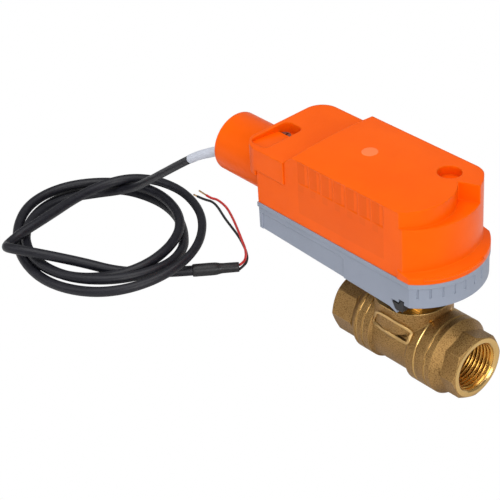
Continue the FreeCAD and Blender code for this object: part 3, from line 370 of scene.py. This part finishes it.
jackets = {
    "cableJacket": {"color": (0.0065, 0.0065, 0.0105), "rough": 0.42, "grain": 1500.0},
    "shrinkFilm": {"color": (0.012, 0.012, 0.013), "rough": 0.38, "grain": 900.0},
    "wireRed": {"color": (0.52, 0.030, 0.026), "rough": 0.35, "grain": 2500.0},
    "wireBlack": {"color": (0.012, 0.012, 0.013), "rough": 0.35, "grain": 2500.0}}

finish = {"bodyBrass": brassMaterial("bodyBrass", bodyMachined),
          "endBrass": brassMaterial("endBrass", endMachined)}
for make, looks in ((plasticMaterial, plastics), (metalMaterial, metals),
                    (jacketMaterial, jackets)):
    for name, look in looks.items():
        finish[name] = make(name, **look)

nodeFinishes = {
    "bodyBrass": ["valve_body"], "endBrass": ["body_end"], "chromedBall": ["ball"],
    "seatPlastic": ["thrust_washer", "seat_rear", "seat_front"],
    "glandRubber": ["body_seal", "stem_seals", "strain_relief"],
    "turnedSteel": ["stem", "motor_pinion", "axle_pins"], "screwSteel": ["conduit_screw"],
    "greyPlastic": ["base_housing"], "orangePlastic": ["main_cover", "conduit_cover"],
    "blackPlastic": ["release_latch", "drive_coupling"],
    "gearPlastic": ["output_gear", "gear_2", "gear_1", "gear_plate"],
    "motorCan": ["motor"], "boardGreen": ["circuit_board"], "capacitorFilm": ["capacitors"],
    "terminalGreen": ["terminal_block"], "cableJacket": ["cable_lead", "cable_coil", "cable_tail"],
    "markerWhite": ["marker_sleeve"], "shrinkFilm": ["shrink_tube"], "wireRed": ["red_wire"],
    "wireBlack": ["black_wire"], "bareCopper": ["red_tip", "black_tip"]}
for name, nodeNames in nodeFinishes.items():
    for nodeName in nodeNames:
        data = nodes[nodeName].data
        data.materials.clear()
        data.materials.append(finish[name])
print("materials on", sum(len(n) for n in nodeFinishes.values()), "nodes")


# Corner numbers of a grid's quads. closeU and closeV join the last row or column to the first.
def gridQuads(nu, nv, first=0, closeU=False, closeV=False):
    index = np.arange(nu * nv).reshape(nu, nv) + first
    a = index if closeU else index[:-1]
    b = np.roll(index, -1, 0) if closeU else index[1:]
    if closeV:
        quads = np.stack([a, np.roll(a, -1, 1), np.roll(b, -1, 1), b], -1)
    else:
        quads = np.stack([a[:, :-1], a[:, 1:], b[:, 1:], b[:, :-1]], -1)
    return index, quads.reshape(-1, 4).tolist()


def meshObject(name, verts, faces, smooth):
    mesh = bpy.data.meshes.new(name)
    mesh.from_pydata(verts, [], faces)
    mesh.polygons.foreach_set("use_smooth", [smooth] * len(mesh.polygons))
    mesh.validate()
    obj = bpy.data.objects.new(name, mesh)
    bpy.context.scene.collection.objects.link(obj)
    return obj


# points[u, v] as one smooth mesh
def gridMesh(name, points, closeU=False, closeV=False):
    quads = gridQuads(*points.shape[:2], 0, closeU, closeV)[1]
    return meshObject(name, rowPoints(points).reshape(-1, 3).tolist(), quads, True)


# Closed shells in one flat-shaded mesh: each is a grid closed round v, and closed along u or capped
def shellsMesh(name, shells):
    verts, faces = [], []
    for points, closeU in shells:
        index, quads = gridQuads(*points.shape[:2], len(verts), closeU, True)
        verts += rowPoints(points).reshape(-1, 3).tolist()
        faces += quads
        if not closeU:
            faces += [index[0][::-1].tolist(), index[-1].tolist()]
    return meshObject(name, verts, faces, False)


def roundTurn(count):
    return np.linspace(0.0, 2 * np.pi, count, endpoint=False)


def dress(obj, finishName, slotName, body, *stoodFor):
    obj.data.materials.append(finish[finishName])
    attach(obj, body)
    if stoodFor:
        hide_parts(*stoodFor)
    return obj


# The cable's one spline: control points beside the CAD tubes, moved to follow the photograph. The
# lead comes first, then the loose turns with 12 points each, then the tail with its fold.
# widths: share of the full diameter at a point, where it isn't 1.
cable = {
    "radius": 2.3,
    "points": [
        (-80, 0, 48.3), (-90, 0, 48.3), (-100.9, -3.2, 46.7), (-111.9, -6.6, 43.1),
        (-123.1, -8.3, 37), (-135.1, -8.3, 28.1), (-148.9, -7.6, 17.5), (-163, -6.8, 6.6),
        (-175.4, -6.5, -2.5), (-186, -8.4, -8.2), (-194.6, -15, -10.2), (-200.8, -27.3, -9.5),
        (-200.6, -44.5, -8.6), (-190.6, -61.5, -8.4), (-170, -71.4, -8.9), (-145.9, -69, -9.1),
        (-127.4, -53.9, -8.7), (-120.3, -34, -8.5), (-126.6, -18.2, -10.2), (-140.6, -6.3, -12.3),
        (-157, 2.6, -13.4), (-176, 4.7, -14.1), (-194.7, -1.8, -13.4), (-207, -19.4, -12.6),
        (-207.1, -41.8, -12), (-194.8, -59.9, -14.1), (-173.8, -67.9, -14.1),
        (-152.5, -66.1, -12.9), (-136.1, -56.4, -10.6), (-127.4, -41.6, -8.4), (-128.9, -24, -7.1),
        (-138.9, -8.1, -6.8), (-157.6, 1.3, -7.1), (-177.4, 1.6, -6.8), (-194.7, -8.4, -6.4),
        (-206.8, -25.9, -6.3), (-207.9, -45.6, -7.2), (-197.2, -61.3, -10.1),
        (-176.7, -72.8, -12.6), (-151.1, -74.6, -13), (-126.8, -63.6, -11.1), (-114, -42.9, -7.9),
        (-115.5, -19.1, -5.1), (-130.5, -1.4, -2.8), (-151.3, 5.9, -1.5), (-169.6, 4.2, -1.3),
        (-181.4, -1.7, -2), (-187.7, -10, -2.9), (-190.2, -20.4, -3.5), (-189.7, -32.4, -3.6),
        (-187.2, -44.6, -3.4), (-185.1, -55.9, -3.2), (-184.5, -64.9, -3.7), (-183.7, -71.6, -4.8),
        (-181.5, -76.7, -4.6), (-177.1, -78.3, -2.5), (-169.8, -75.5, -2), (-160.2, -68, -3.9),
        (-148.8, -57.8, -7.5), (-138.1, -48.8, -11.4), (-129.9, -38.8, -13.5),
        (-121, -29.6, -13.5), (-115.4, -22.6, -13.5)],
    "widths": {**dict.fromkeys(range(8), 0.82), 8: 0.84, 9: 0.89, 10: 0.95, 41: 0.92, 42: 0.87,
               43: 0.86, 44: 0.87, 45: 0.93}}
wires = {
    "radius": 0.6,
    "red": [(-102.9, -5.5, -13.1), (-103.2, -2.7, -13.2), (-105.7, 0.9, -13.3),
            (-110.8, 5.1, -13.5), (-117.6, 9, -13.8), (-125.9, 13.7, -14), (-135.2, 18.9, -14.4),
            (-145.1, 23.7, -14.9), (-151.1, 25.3, -15.3), (-155.6, 25.8, -15.5),
            (-158, 24.9, -15.8), (-161.8, 25.1, -15.8)],
    "black": [(-101.5, -6.9, -14.1), (-102.8, -2.5, -14.6), (-106.2, 2.1, -15.5),
              (-111.2, 5.9, -15.8), (-116, 8.5, -15.8), (-123.8, 12.2, -15.8),
              (-131.6, 14.9, -15.8), (-140.5, 18, -15.8), (-150.3, 22.2, -15.8),
              (-155.9, 23.4, -15.8), (-159.7, 21.9, -15.8), (-164.4, 21.5, -15.8)]}


# One open spline of order 3 with a round section
def cordCurve(name, points, radius, sides, widths=None):
    data = bpy.data.curves.new(name, "CURVE")
    data.dimensions = "3D"
    data.bevel_depth = radius * 0.001
    data.bevel_resolution = sides
    data.use_fill_caps = radius > 0
    data.resolution_u = 12
    data.render_resolution_u = 12
    spline = data.splines.new("NURBS")
    spline.points.add(len(points) - 1)
    row = rowPoints(points)
    spline.points.foreach_set("co", np.column_stack([row, np.ones(len(row))]).ravel())
    for k, share in (widths or {}).items():
        spline.points[k].radius = share
    spline.order_u = 3
    spline.use_endpoint_u = True
    obj = bpy.data.objects.new(name, data)
    bpy.context.scene.collection.objects.link(obj)
    return obj


# Points of the spline's own centre line
def centreLine(points):
    bare = cordCurve("bareLine", points, 0.0, 0)
    mesh = bpy.data.meshes.new_from_object(bare)
    line = np.array([v.co for v in mesh.vertices]) * 1000.0 - np.array([stemX, 0.0, 0.0])
    bpy.data.objects.remove(bare)
    bpy.data.meshes.remove(mesh)
    return line


def pathLength(line):
    return float(np.linalg.norm(np.diff(line, axis=0), axis=1).sum()) * 0.001


# A profile carried along a line: the line's point at each station, plus the radius there times
# cos v sideways and sin v over. radii[u, v] has a row for each station.
def alongLine(line, stations, radii):
    lengths = np.concatenate([[0.0], np.cumsum(np.linalg.norm(np.diff(line, axis=0), axis=1))])
    look = 0.6  # the way at a station runs from this far behind it to this far ahead
    at, ahead, behind = (np.stack([np.interp(stations + d, lengths, line[:, k]) for k in range(3)],
                                  -1) for d in (0.0, look, -look))
    way = ahead - behind
    way /= np.linalg.norm(way, axis=1)[:, None]
    side = np.cross(way, [0.0, 0.0, 1.0])
    side /= np.linalg.norm(side, axis=1)[:, None]
    over = np.cross(side, way)
    v = roundTurn(radii.shape[1])[None, :, None]
    return at[:, None] + radii[..., None] * (np.cos(v) * side[:, None] + np.sin(v) * over[:, None])


# Straight line through a cord's end, from 2 mm inside it to a reach beyond it
inset = 2.0


def endLine(before, end, reach):
    way = (end - before) / np.linalg.norm(end - before)
    return np.array([end - inset * way, end + reach * way])


cableLine = centreLine(cable["points"])
redLine, blackLine = centreLine(wires["red"]), centreLine(wires["black"])
cablePiece = dress(cordCurve("cable", cable["points"], cable["radius"], 6, cable["widths"]),
                   "cableJacket", "cable_jacket", "housing", "cable_lead", "cable_coil",
                   "cable_tail")
redPiece = dress(cordCurve("redWire", wires["red"], wires["radius"], 4), "wireRed", "wire_red",
                 "housing", "red_wire")
blackPiece = dress(cordCurve("blackWire", wires["black"], wires["radius"], 4), "wireBlack",
                   "wire_black", "housing", "black_wire")

# Marker sleeve: a thin soft tube on the lead, wider at the gland, with shallow folds along it
sleeve = {"from": 29.5, "to": 52.6, "wide": 2.28, "narrow": 2.02, "taper": 1.3, "wall": 0.12,
          "fold": 0.05, "folds": 3, "perRadian": 3.0, "lip": 0.05, "lipRise": 60.0, "along": 70,
          "around": 48}


# Radius: from wide to narrow along the sleeve, plus the folds, which turn slowly along it and are
# deepest half way, less a lip that draws in at both rims. The inner skin is one wall smaller.
def sleevePiece():
    s = np.linspace(sleeve["from"], sleeve["to"], sleeve["along"])
    u = (s - s[0]) / (s[-1] - s[0])
    v = roundTurn(sleeve["around"])[None]
    r = sleeve["wide"] + (sleeve["narrow"] - sleeve["wide"]) * np.clip(sleeve["taper"] * u, 0, 1)
    turn = np.sin(sleeve["folds"] * v + s[:, None] / sleeve["perRadian"])
    r = r[:, None] + sleeve["fold"] * turn * np.sin(np.pi * u)[:, None]
    r = r - sleeve["lip"] * np.exp(-np.minimum(u, 1 - u) * sleeve["lipRise"])[:, None]
    points = alongLine(cableLine, np.concatenate([s, s[::-1]]),
                       np.concatenate([r, r[::-1] - sleeve["wall"]]))
    obj = gridMesh("markerSleeve", points, closeU=True, closeV=True)
    return dress(obj, "markerWhite", "marker_white", "housing", "marker_sleeve")


# Heat shrink: distance from the cable's end and radius there, thick on the jacket, then thin
shrink = {"s": [-0.05, -0.05, 0.0, 0.25, 0.9, 3.5, 7.0, 10.2, 11.2, 12.0, 12.8, 13.6, 16.0, 19.0,
                20.6, 21.0, 21.0, 20.4, 20.2],
          "r": [0.0, 2.2, 2.62, 2.86, 2.92, 2.9, 2.93, 2.88, 2.74, 2.52, 2.38, 2.33, 2.36, 2.31,
                2.26, 2.12, 1.75, 1.55, 0.0],
          "wave": 0.05, "waveFrom": 9.0, "waveFull": 13.0, "around": 48, "smooth": 2}


# Radius: the profile, plus a slight oval that turns along it where the tube grips the cores
def shrinkPiece():
    s, profile = np.array(shrink["s"]), np.array(shrink["r"])
    v = roundTurn(shrink["around"])[None]
    share = np.clip((s - shrink["waveFrom"]) / (shrink["waveFull"] - shrink["waveFrom"]), 0, 1)
    oval = shrink["wave"] * np.sin(2 * v + s[:, None] * 0.4)
    r = profile[:, None] + oval * (share * (profile > 0.1))[:, None]
    before, end = (np.array(p, float) for p in cable["points"][-2:])
    points = alongLine(endLine(before, end, 26.0), s + inset, r)
    obj = gridMesh("shrinkTube", points, closeV=True)
    finer = obj.modifiers.new("round", "SUBSURF")
    finer.levels = finer.render_levels = shrink["smooth"]
    return dress(obj, "shrinkFilm", "shrink_black", "housing", "shrink_tube")


# Bared ends of the wires
tips = {"radius": 0.42, "strand": 0.03, "strands": 6, "twist": 3.0, "inside": 0.4, "rim": 0.12,
        "rows": 8, "around": 24, "red": 6.0, "black": 2.6}


# Radius: the tip's, plus a small cosine of six strands that turn along it; closed at both ends
def tipPiece(name, line, length, nodeName):
    s = np.concatenate([[-tips["inside"]] * 2,
                        np.linspace(-0.3, length - 0.15, int(length * tips["rows"])), [length] * 2])
    v = roundTurn(tips["around"])[None]
    r = tips["radius"] + tips["strand"] * np.cos(tips["strands"] * v + tips["twist"] * s[:, None])
    r[[0, -1]] = 0.0
    r[-2] -= tips["rim"]
    points = alongLine(endLine(line[-2], line[-1], length + inset), s + inset, r)
    return dress(gridMesh(name, points, closeV=True), "bareCopper", "bare_copper", "housing",
                 nodeName)


sleeveObj, shrinkObj = sleevePiece(), shrinkPiece()
redTip = tipPiece("redTip", redLine, tips["red"], "red_tip")
blackTip = tipPiece("blackTip", blackLine, tips["black"], "black_tip")
print("cords:", [round(pathLength(line), 4) for line in (cableLine, redLine, blackLine)])

# Pipe threads inside both ports
thread = {"wall": 10.25, "crest": 9.45, "root": 10.15, "pitch": 1.814, "mouth": 33.6, "deep": 21.2,
          "around": 120, "perPitch": 16, "crestWide": 1.45, "flank": 2.6, "leadIn": 1.2,
          "mouthDepth": 0.25, "runOut": 0.8}


# Radius: the root, less the thread's depth times a crest that winds once round per pitch and fades
# out at both ends. The last two rows close the ring along its back wall.
def threadRing(name, side):
    long = thread["mouth"] - thread["deep"]
    turns = long / thread["pitch"]
    u = np.linspace(0.0, 1.0, int(turns * thread["perPitch"]))[:, None]
    v = roundTurn(thread["around"])[None]
    phase = (u * turns - v / (2 * np.pi)) % 1.0
    crest = np.clip(thread["crestWide"] - thread["flank"] * np.abs(phase - 0.5), 0.0, 1.0)
    crest = crest ** 2 * (3 - 2 * crest)
    fade = np.clip(np.minimum(u * turns * thread["leadIn"] + thread["mouthDepth"],
                              (1 - u) * turns * thread["runOut"]), 0.0, 1.0)
    r = thread["root"] - (thread["root"] - thread["crest"]) * crest * fade
    x = thread["mouth"] - u * long + 0 * v
    back = np.full((1, thread["around"]), thread["wall"])
    r = np.concatenate([r, back, back])
    x = np.concatenate([x, x[-1:], x[:1]])
    points = np.stack([side * x, r * np.cos(v), r * np.sin(v) * side], -1)
    obj = gridMesh(name, points, closeU=True, closeV=True)
    return dress(obj, "threadBrass", "forged_brass", "housing")


threadRing("threadFront", 1)
threadRing("threadRear", -1)
print("threads made")

# Small forms that stand on the CAD surfaces
surfaces = {}


# First point and outward normal of a node's surface along a ray
def onSurface(nodeName, origin, way):
    if nodeName not in surfaces:
        obj = nodes[nodeName]
        surfaces[nodeName] = BVHTree.FromPolygons(
            [obj.matrix_world @ v.co for v in obj.data.vertices],
            [list(f.vertices) for f in obj.data.polygons])
    hit, normal = surfaces[nodeName].ray_cast(Vector(rowPoints(origin)), Vector(way))[:2]
    normal = -normal if normal.dot(Vector(way)) > 0 else normal
    return np.array(hit) * 1000.0 - np.array([stemX, 0.0, 0.0]), np.array(normal)


# Release latch: window plate in the head groove, and outside it the curved wedge with its finger
latch = {"plateZ": (27.3, 29.3), "half": 13.4, "near": -18.4, "far": 11.4, "window": 10.9,
         "windowY": -1.0, "around": 96,
         "wedge": [(7.7, 31.9), (10.9, 32.1), (13.6, 32.2), (14.0, 33.6), (14.6, 34.2),
                   (15.3, 34.3), (15.9, 33.8), (16.0, 32.2), (16.0, 30.4), (15.2, 28.9),
                   (12.2, 28.6), (10.0, 29.0), (8.5, 30.2)],
         "wedgeY": (-22.3, -22.1, -19.6, -19.4), "tongueY": (-19.6, -19.5, -17.5, -17.4),
         "tongue": [(9.5, 28.9), (12.0, 29.3), (13.2, 29.3), (13.2, 27.3), (10.0, 27.3),
                    (9.0, 27.6)],
         "endShares": (0.9, 1.0, 1.0, 0.9)}


# Plate: the round window inside, and outside it the ray at each angle v, as long as the nearer of
# the two sides that it meets. Wedge and tongue: an outline carried along Y, smaller at its ends.
def latchPiece():
    v = roundTurn(latch["around"])
    ray = np.stack([np.cos(v), np.sin(v)], -1)
    middle = np.array([0.0, (latch["near"] + latch["far"]) / 2])
    halves = np.array([latch["half"], (latch["far"] - latch["near"]) / 2])
    edge = middle + ray / np.max(np.abs(ray) / halves, axis=1)[:, None]
    hole = np.array([0.0, latch["windowY"]]) + latch["window"] * ray
    low, high = latch["plateZ"]
    rows = [np.column_stack([part, np.full(len(v), z)]) for part, z in
            ((edge, low), (edge, high), (hole, high), (hole, low))]
    shells = [(np.stack(rows, 0), True)]
    for outline, ys in (("wedge", "wedgeY"), ("tongue", "tongueY")):
        flat = np.array(latch[outline], float)
        rings = []
        for y, share in zip(latch[ys], latch["endShares"]):
            ring = flat.mean(0) + (flat - flat.mean(0)) * share
            rings.append(np.stack([ring[:, 0], np.full(len(ring), y), ring[:, 1]], -1))
        shells.append((np.stack(rings, 0), False))
    return dress(shellsMesh("releaseLatch", shells), "blackPlastic", "black_plastic", "latch",
                 "release_latch")


latchPiece()

# Raised rim on the near side of the neck: its corners (x, z) where they lie as seen by the camera
rim = {"corners": [(-5.0, 16.4), (14.4, 15.8), (11.6, 8.1), (-7.3, 9.2)], "plane": -15.6,
       "round": 0.13, "wide": 1.2, "high": 0.85, "sunk": 0.6, "eye": (394.3, -407.8, 424.3),
       "cornerSteps": 6, "sideSteps": 14, "smooth": 6, "around": 14}


# Loop: four sides joined by quadratic curves at the corners, laid on the neck along the camera's
# rays. Section: wide / 2 * cos v sideways, and high above or sunk below the surface with sin v.
def rimPiece():
    corners = np.array(rim["corners"], float)
    loop = []
    for k in range(4):
        a, b, c = corners[k - 1], corners[k], corners[(k + 1) % 4]
        start, end = b + (a - b) * rim["round"], b + (c - b) * rim["round"]
        t = np.linspace(0, 1, rim["cornerSteps"])[:, None]
        loop += list((1 - t) ** 2 * start + 2 * t * (1 - t) * b + t ** 2 * end)
        far = c + (b - c) * rim["round"]
        loop += list(end + (far - end) * np.linspace(0, 1, rim["sideSteps"])[1:-1, None])
    eye = np.array(rim["eye"])
    hits, normals = [], []
    for x, z in loop:
        aim = np.array([x, rim["plane"], z])
        way = (aim - eye) / np.linalg.norm(aim - eye)
        hit, normal = onSurface("valve_body", aim - 30 * way, way)
        hits.append(hit)
        normals.append(normal)
    hits, normals = np.array(hits), np.array(normals)
    for _ in range(rim["smooth"]):
        hits = (np.roll(hits, 1, 0) + 2 * hits + np.roll(hits, -1, 0)) / 4
        normals = np.roll(normals, 1, 0) + 2 * normals + np.roll(normals, -1, 0)
        normals /= np.linalg.norm(normals, axis=1)[:, None]
    side = np.cross(normals, np.roll(hits, -1, 0) - np.roll(hits, 1, 0))
    side /= np.linalg.norm(side, axis=1)[:, None]
    v = roundTurn(rim["around"])[None, :, None]
    height = np.where(np.sin(v) > 0, rim["high"] * np.clip(3 * np.sin(v), 0, 1),
                      rim["sunk"] * np.sin(v))
    points = (hits[:, None] + side[:, None] * rim["wide"] / 2 * np.cos(v)
              + normals[:, None] * height)
    obj = gridMesh("frameRim", points, closeU=True, closeV=True)
    return dress(obj, "rimBrass", "forged_brass", "housing")


rimPiece()

# Gate mark on the cover's top: a paler round with a small point in the middle
gate = {"at": (-24.1, 0.6), "radius": 3.3, "high": 0.012, "pipWide": 0.7, "deep": 0.3,
        "rings": 24, "around": 48}


# Height: flat until near the rim, where it falls off with the eighth power of the radius, plus a
# bell of the same height in the middle. The last two rows close it below the cover's surface.
def gatePiece():
    x, y = gate["at"]
    top = onSurface("main_cover", (x, y, 120.0), (0, 0, -1))[0][2]
    r = np.concatenate([np.linspace(0, gate["radius"], gate["rings"]), [gate["radius"], 0.0]])
    v = roundTurn(gate["around"])[None]
    z = top + gate["high"] * (1 - (r / gate["radius"]) ** 8 + np.exp(-(r / gate["pipWide"]) ** 2))
    z[-2:] = top - gate["deep"]
    r, z = r[:, None], z[:, None]
    points = np.stack([x + r * np.cos(v), y + r * np.sin(v), z + 0 * v], -1)
    return dress(gridMesh("gateMark", points, closeV=True), "gatePale", "orange_plastic",
                 "housing")


gatePiece()

# Ramp in the screw pocket: it leaves only the far part of the screw in view
ramp = {"x": (-73.2, -62.8), "y": (-19.4, -3.7), "depth": (1.3, 2.75), "thick": (1.0, 0.35),
        "fall": 1.6, "steps": 24, "coverTopAt": (-68.0, 4.5)}


# Height: below the cover's top by the first depth at the near end, and by the second at the far
# end, in between with u to the power of fall; its underside is lower by a thickness that thins out.
def rampPiece():
    top = onSurface("conduit_cover", (*ramp["coverTopAt"], 120.0), (0, 0, -1))[0][2]
    u = np.linspace(0.0, 1.0, ramp["steps"])
    y = ramp["y"][0] + (ramp["y"][1] - ramp["y"][0]) * u
    upper = top - ramp["depth"][0] - (ramp["depth"][1] - ramp["depth"][0]) * u ** ramp["fall"]
    under = upper - ramp["thick"][0] - (ramp["thick"][1] - ramp["thick"][0]) * u
    outline = np.concatenate([np.stack([y, upper], -1), np.stack([y, under], -1)[::-1]])
    rows = [np.column_stack([np.full(len(outline), x), outline]) for x in ramp["x"]]
    return dress(shellsMesh("pocketRamp", [(np.stack(rows, 0), False)]), "orangePlastic",
                 "orange_plastic", "housing")


rampPiece()

# Fine ridges round the edge of the flange lip. profile: (radius, height) round the lip's section;
# out and up: how far the ridges move each of its points
ridges = {"centre": (2.5, 0.0), "from": -42.0, "to": 15.0, "pitch": 1.05, "mid": 28.6, "steps": 10,
          "profile": [(28.45, 45.9), (28.62, 46.2), (28.62, 46.7), (28.45, 46.93), (28.0, 46.97),
                      (27.9, 46.5), (27.9, 46.0)],
          "out": [0.048, 0.16, 0.16, 0.128, 0, 0, 0], "up": [0, 0, 0.036, 0.12, 0, 0, 0]}


# Section at angle a: the profile, moved out and up by the upper half of a sine with one wave to
# each pitch of arc
def ridgePiece():
    start, end = math.radians(ridges["from"]), math.radians(ridges["to"])
    count = int((end - start) * ridges["mid"] / ridges["pitch"]) * ridges["steps"]
    a = np.linspace(start, end, count)[:, None]
    wave = np.clip(np.sin(2 * np.pi * a * ridges["mid"] / ridges["pitch"]), 0, 1)
    profile = np.array(ridges["profile"])
    r = profile[:, 0] + wave * np.array(ridges["out"])
    z = profile[:, 1] + wave * np.array(ridges["up"])
    x, y = ridges["centre"]
    points = np.stack([x + r * np.cos(a), y + r * np.sin(a), z], -1)
    return dress(shellsMesh("lipRidges", [(points, False)]), "orangePlastic", "orange_plastic",
                 "housing")


ridgePiece()
print("latch, rim, gate mark, ramp and ridges made")

# Camera, fitted to the photograph
camPlan = {"azimuth": 50.56, "elevation": 33.9, "roll": -4.02, "lens": 124.47, "sensor": 36.0,
           "place": (0.3679, -0.4078, 0.4243)}
az, el, roll = (math.radians(camPlan[k]) for k in ("azimuth", "elevation", "roll"))
back = Vector((math.sin(az) * math.cos(el), -math.cos(az) * math.cos(el), math.sin(el)))
level = Vector((math.cos(az), math.sin(az), 0.0))
upright = back.cross(level)
right = level * math.cos(roll) + upright * math.sin(roll)
up = upright * math.cos(roll) - level * math.sin(roll)
camData = bpy.data.cameras.new("photoCamera")
camData.lens = camPlan["lens"]
camData.sensor_width = camPlan["sensor"]
camData.clip_start = 0.01
camera = bpy.data.objects.new("photoCamera", camData)
camera.matrix_world = Matrix((right, up, back)).transposed().to_4x4()
camera.location = camPlan["place"]
bpy.context.scene.collection.objects.link(camera)
bpy.context.scene.camera = camera

# Floor: pale for the light, and plain white to the camera
room = {"floorHalf": 3.0, "floorDrop": 0.00005, "floorTone": 0.82, "light": 0.33, "seen": 1.0}
floorMat = bpy.data.materials.new("paleFloor")
floorMat.use_nodes = True
tree = floorMat.node_tree
tree.nodes.clear()
out = tree.nodes.new("ShaderNodeOutputMaterial")
diffuse = tree.nodes.new("ShaderNodeBsdfDiffuse")
diffuse.inputs["Color"].default_value = (*[room["floorTone"]] * 3, 1)
plain = tree.nodes.new("ShaderNodeEmission")
rays = tree.nodes.new("ShaderNodeLightPath")
pick = tree.nodes.new("ShaderNodeMixShader")
tree.links.new(rays.outputs["Is Camera Ray"], pick.inputs["Fac"])
tree.links.new(diffuse.outputs[0], pick.inputs[1])
tree.links.new(plain.outputs[0], pick.inputs[2])
tree.links.new(pick.outputs[0], out.inputs["Surface"])
half, low = room["floorHalf"], floorZ * 0.001 - room["floorDrop"]
floor = meshObject("floor", [(-half, -half, low), (half, -half, low), (half, half, low),
                             (-half, half, low)], [(0, 1, 2, 3)], False)
floor.data.materials.append(floorMat)

# World: a soft even light, white to the camera
world = bpy.data.worlds.new("softRoom")
bpy.context.scene.world = world
world.use_nodes = True
tree = world.node_tree
background = tree.nodes["Background"]
rays = tree.nodes.new("ShaderNodeLightPath")
strength = tree.nodes.new("ShaderNodeMix")
tree.links.new(rays.outputs["Is Camera Ray"], strength.inputs[0])
strength.inputs[2].default_value = room["light"]
strength.inputs[3].default_value = room["seen"]
tree.links.new(strength.outputs[0], background.inputs["Strength"])
background.inputs["Color"].default_value = (1, 1, 1, 1)

lamps = {"topSoft": {"place": (0.0, -0.1, 0.9), "aim": (-0.08, 0, 0), "size": 0.9, "power": 6.4},
         "nearRight": {"place": (0.75, -0.45, 0.35), "aim": (-0.03, 0, 0.02), "size": 0.5,
                       "power": 4.6},
         "nearLeft": {"place": (-0.55, -0.8, 0.6), "aim": (-0.08, 0, 0.02), "size": 0.6,
                      "power": 1.9}}
for name, plan in lamps.items():
    lampData = bpy.data.lights.new(name, "AREA")
    lampData.shape = "SQUARE"
    lampData.size = plan["size"]
    lampData.energy = plan["power"]
    lamp = bpy.data.objects.new(name, lampData)
    lamp.location = plan["place"]
    aim = Vector(plan["aim"]) - Vector(plan["place"])
    lamp.rotation_euler = aim.to_track_quat("-Z", "Y").to_euler()
    bpy.context.scene.collection.objects.link(lamp)

bpy.context.scene.view_settings.view_transform = "Standard"
print("camera, light and floor set")
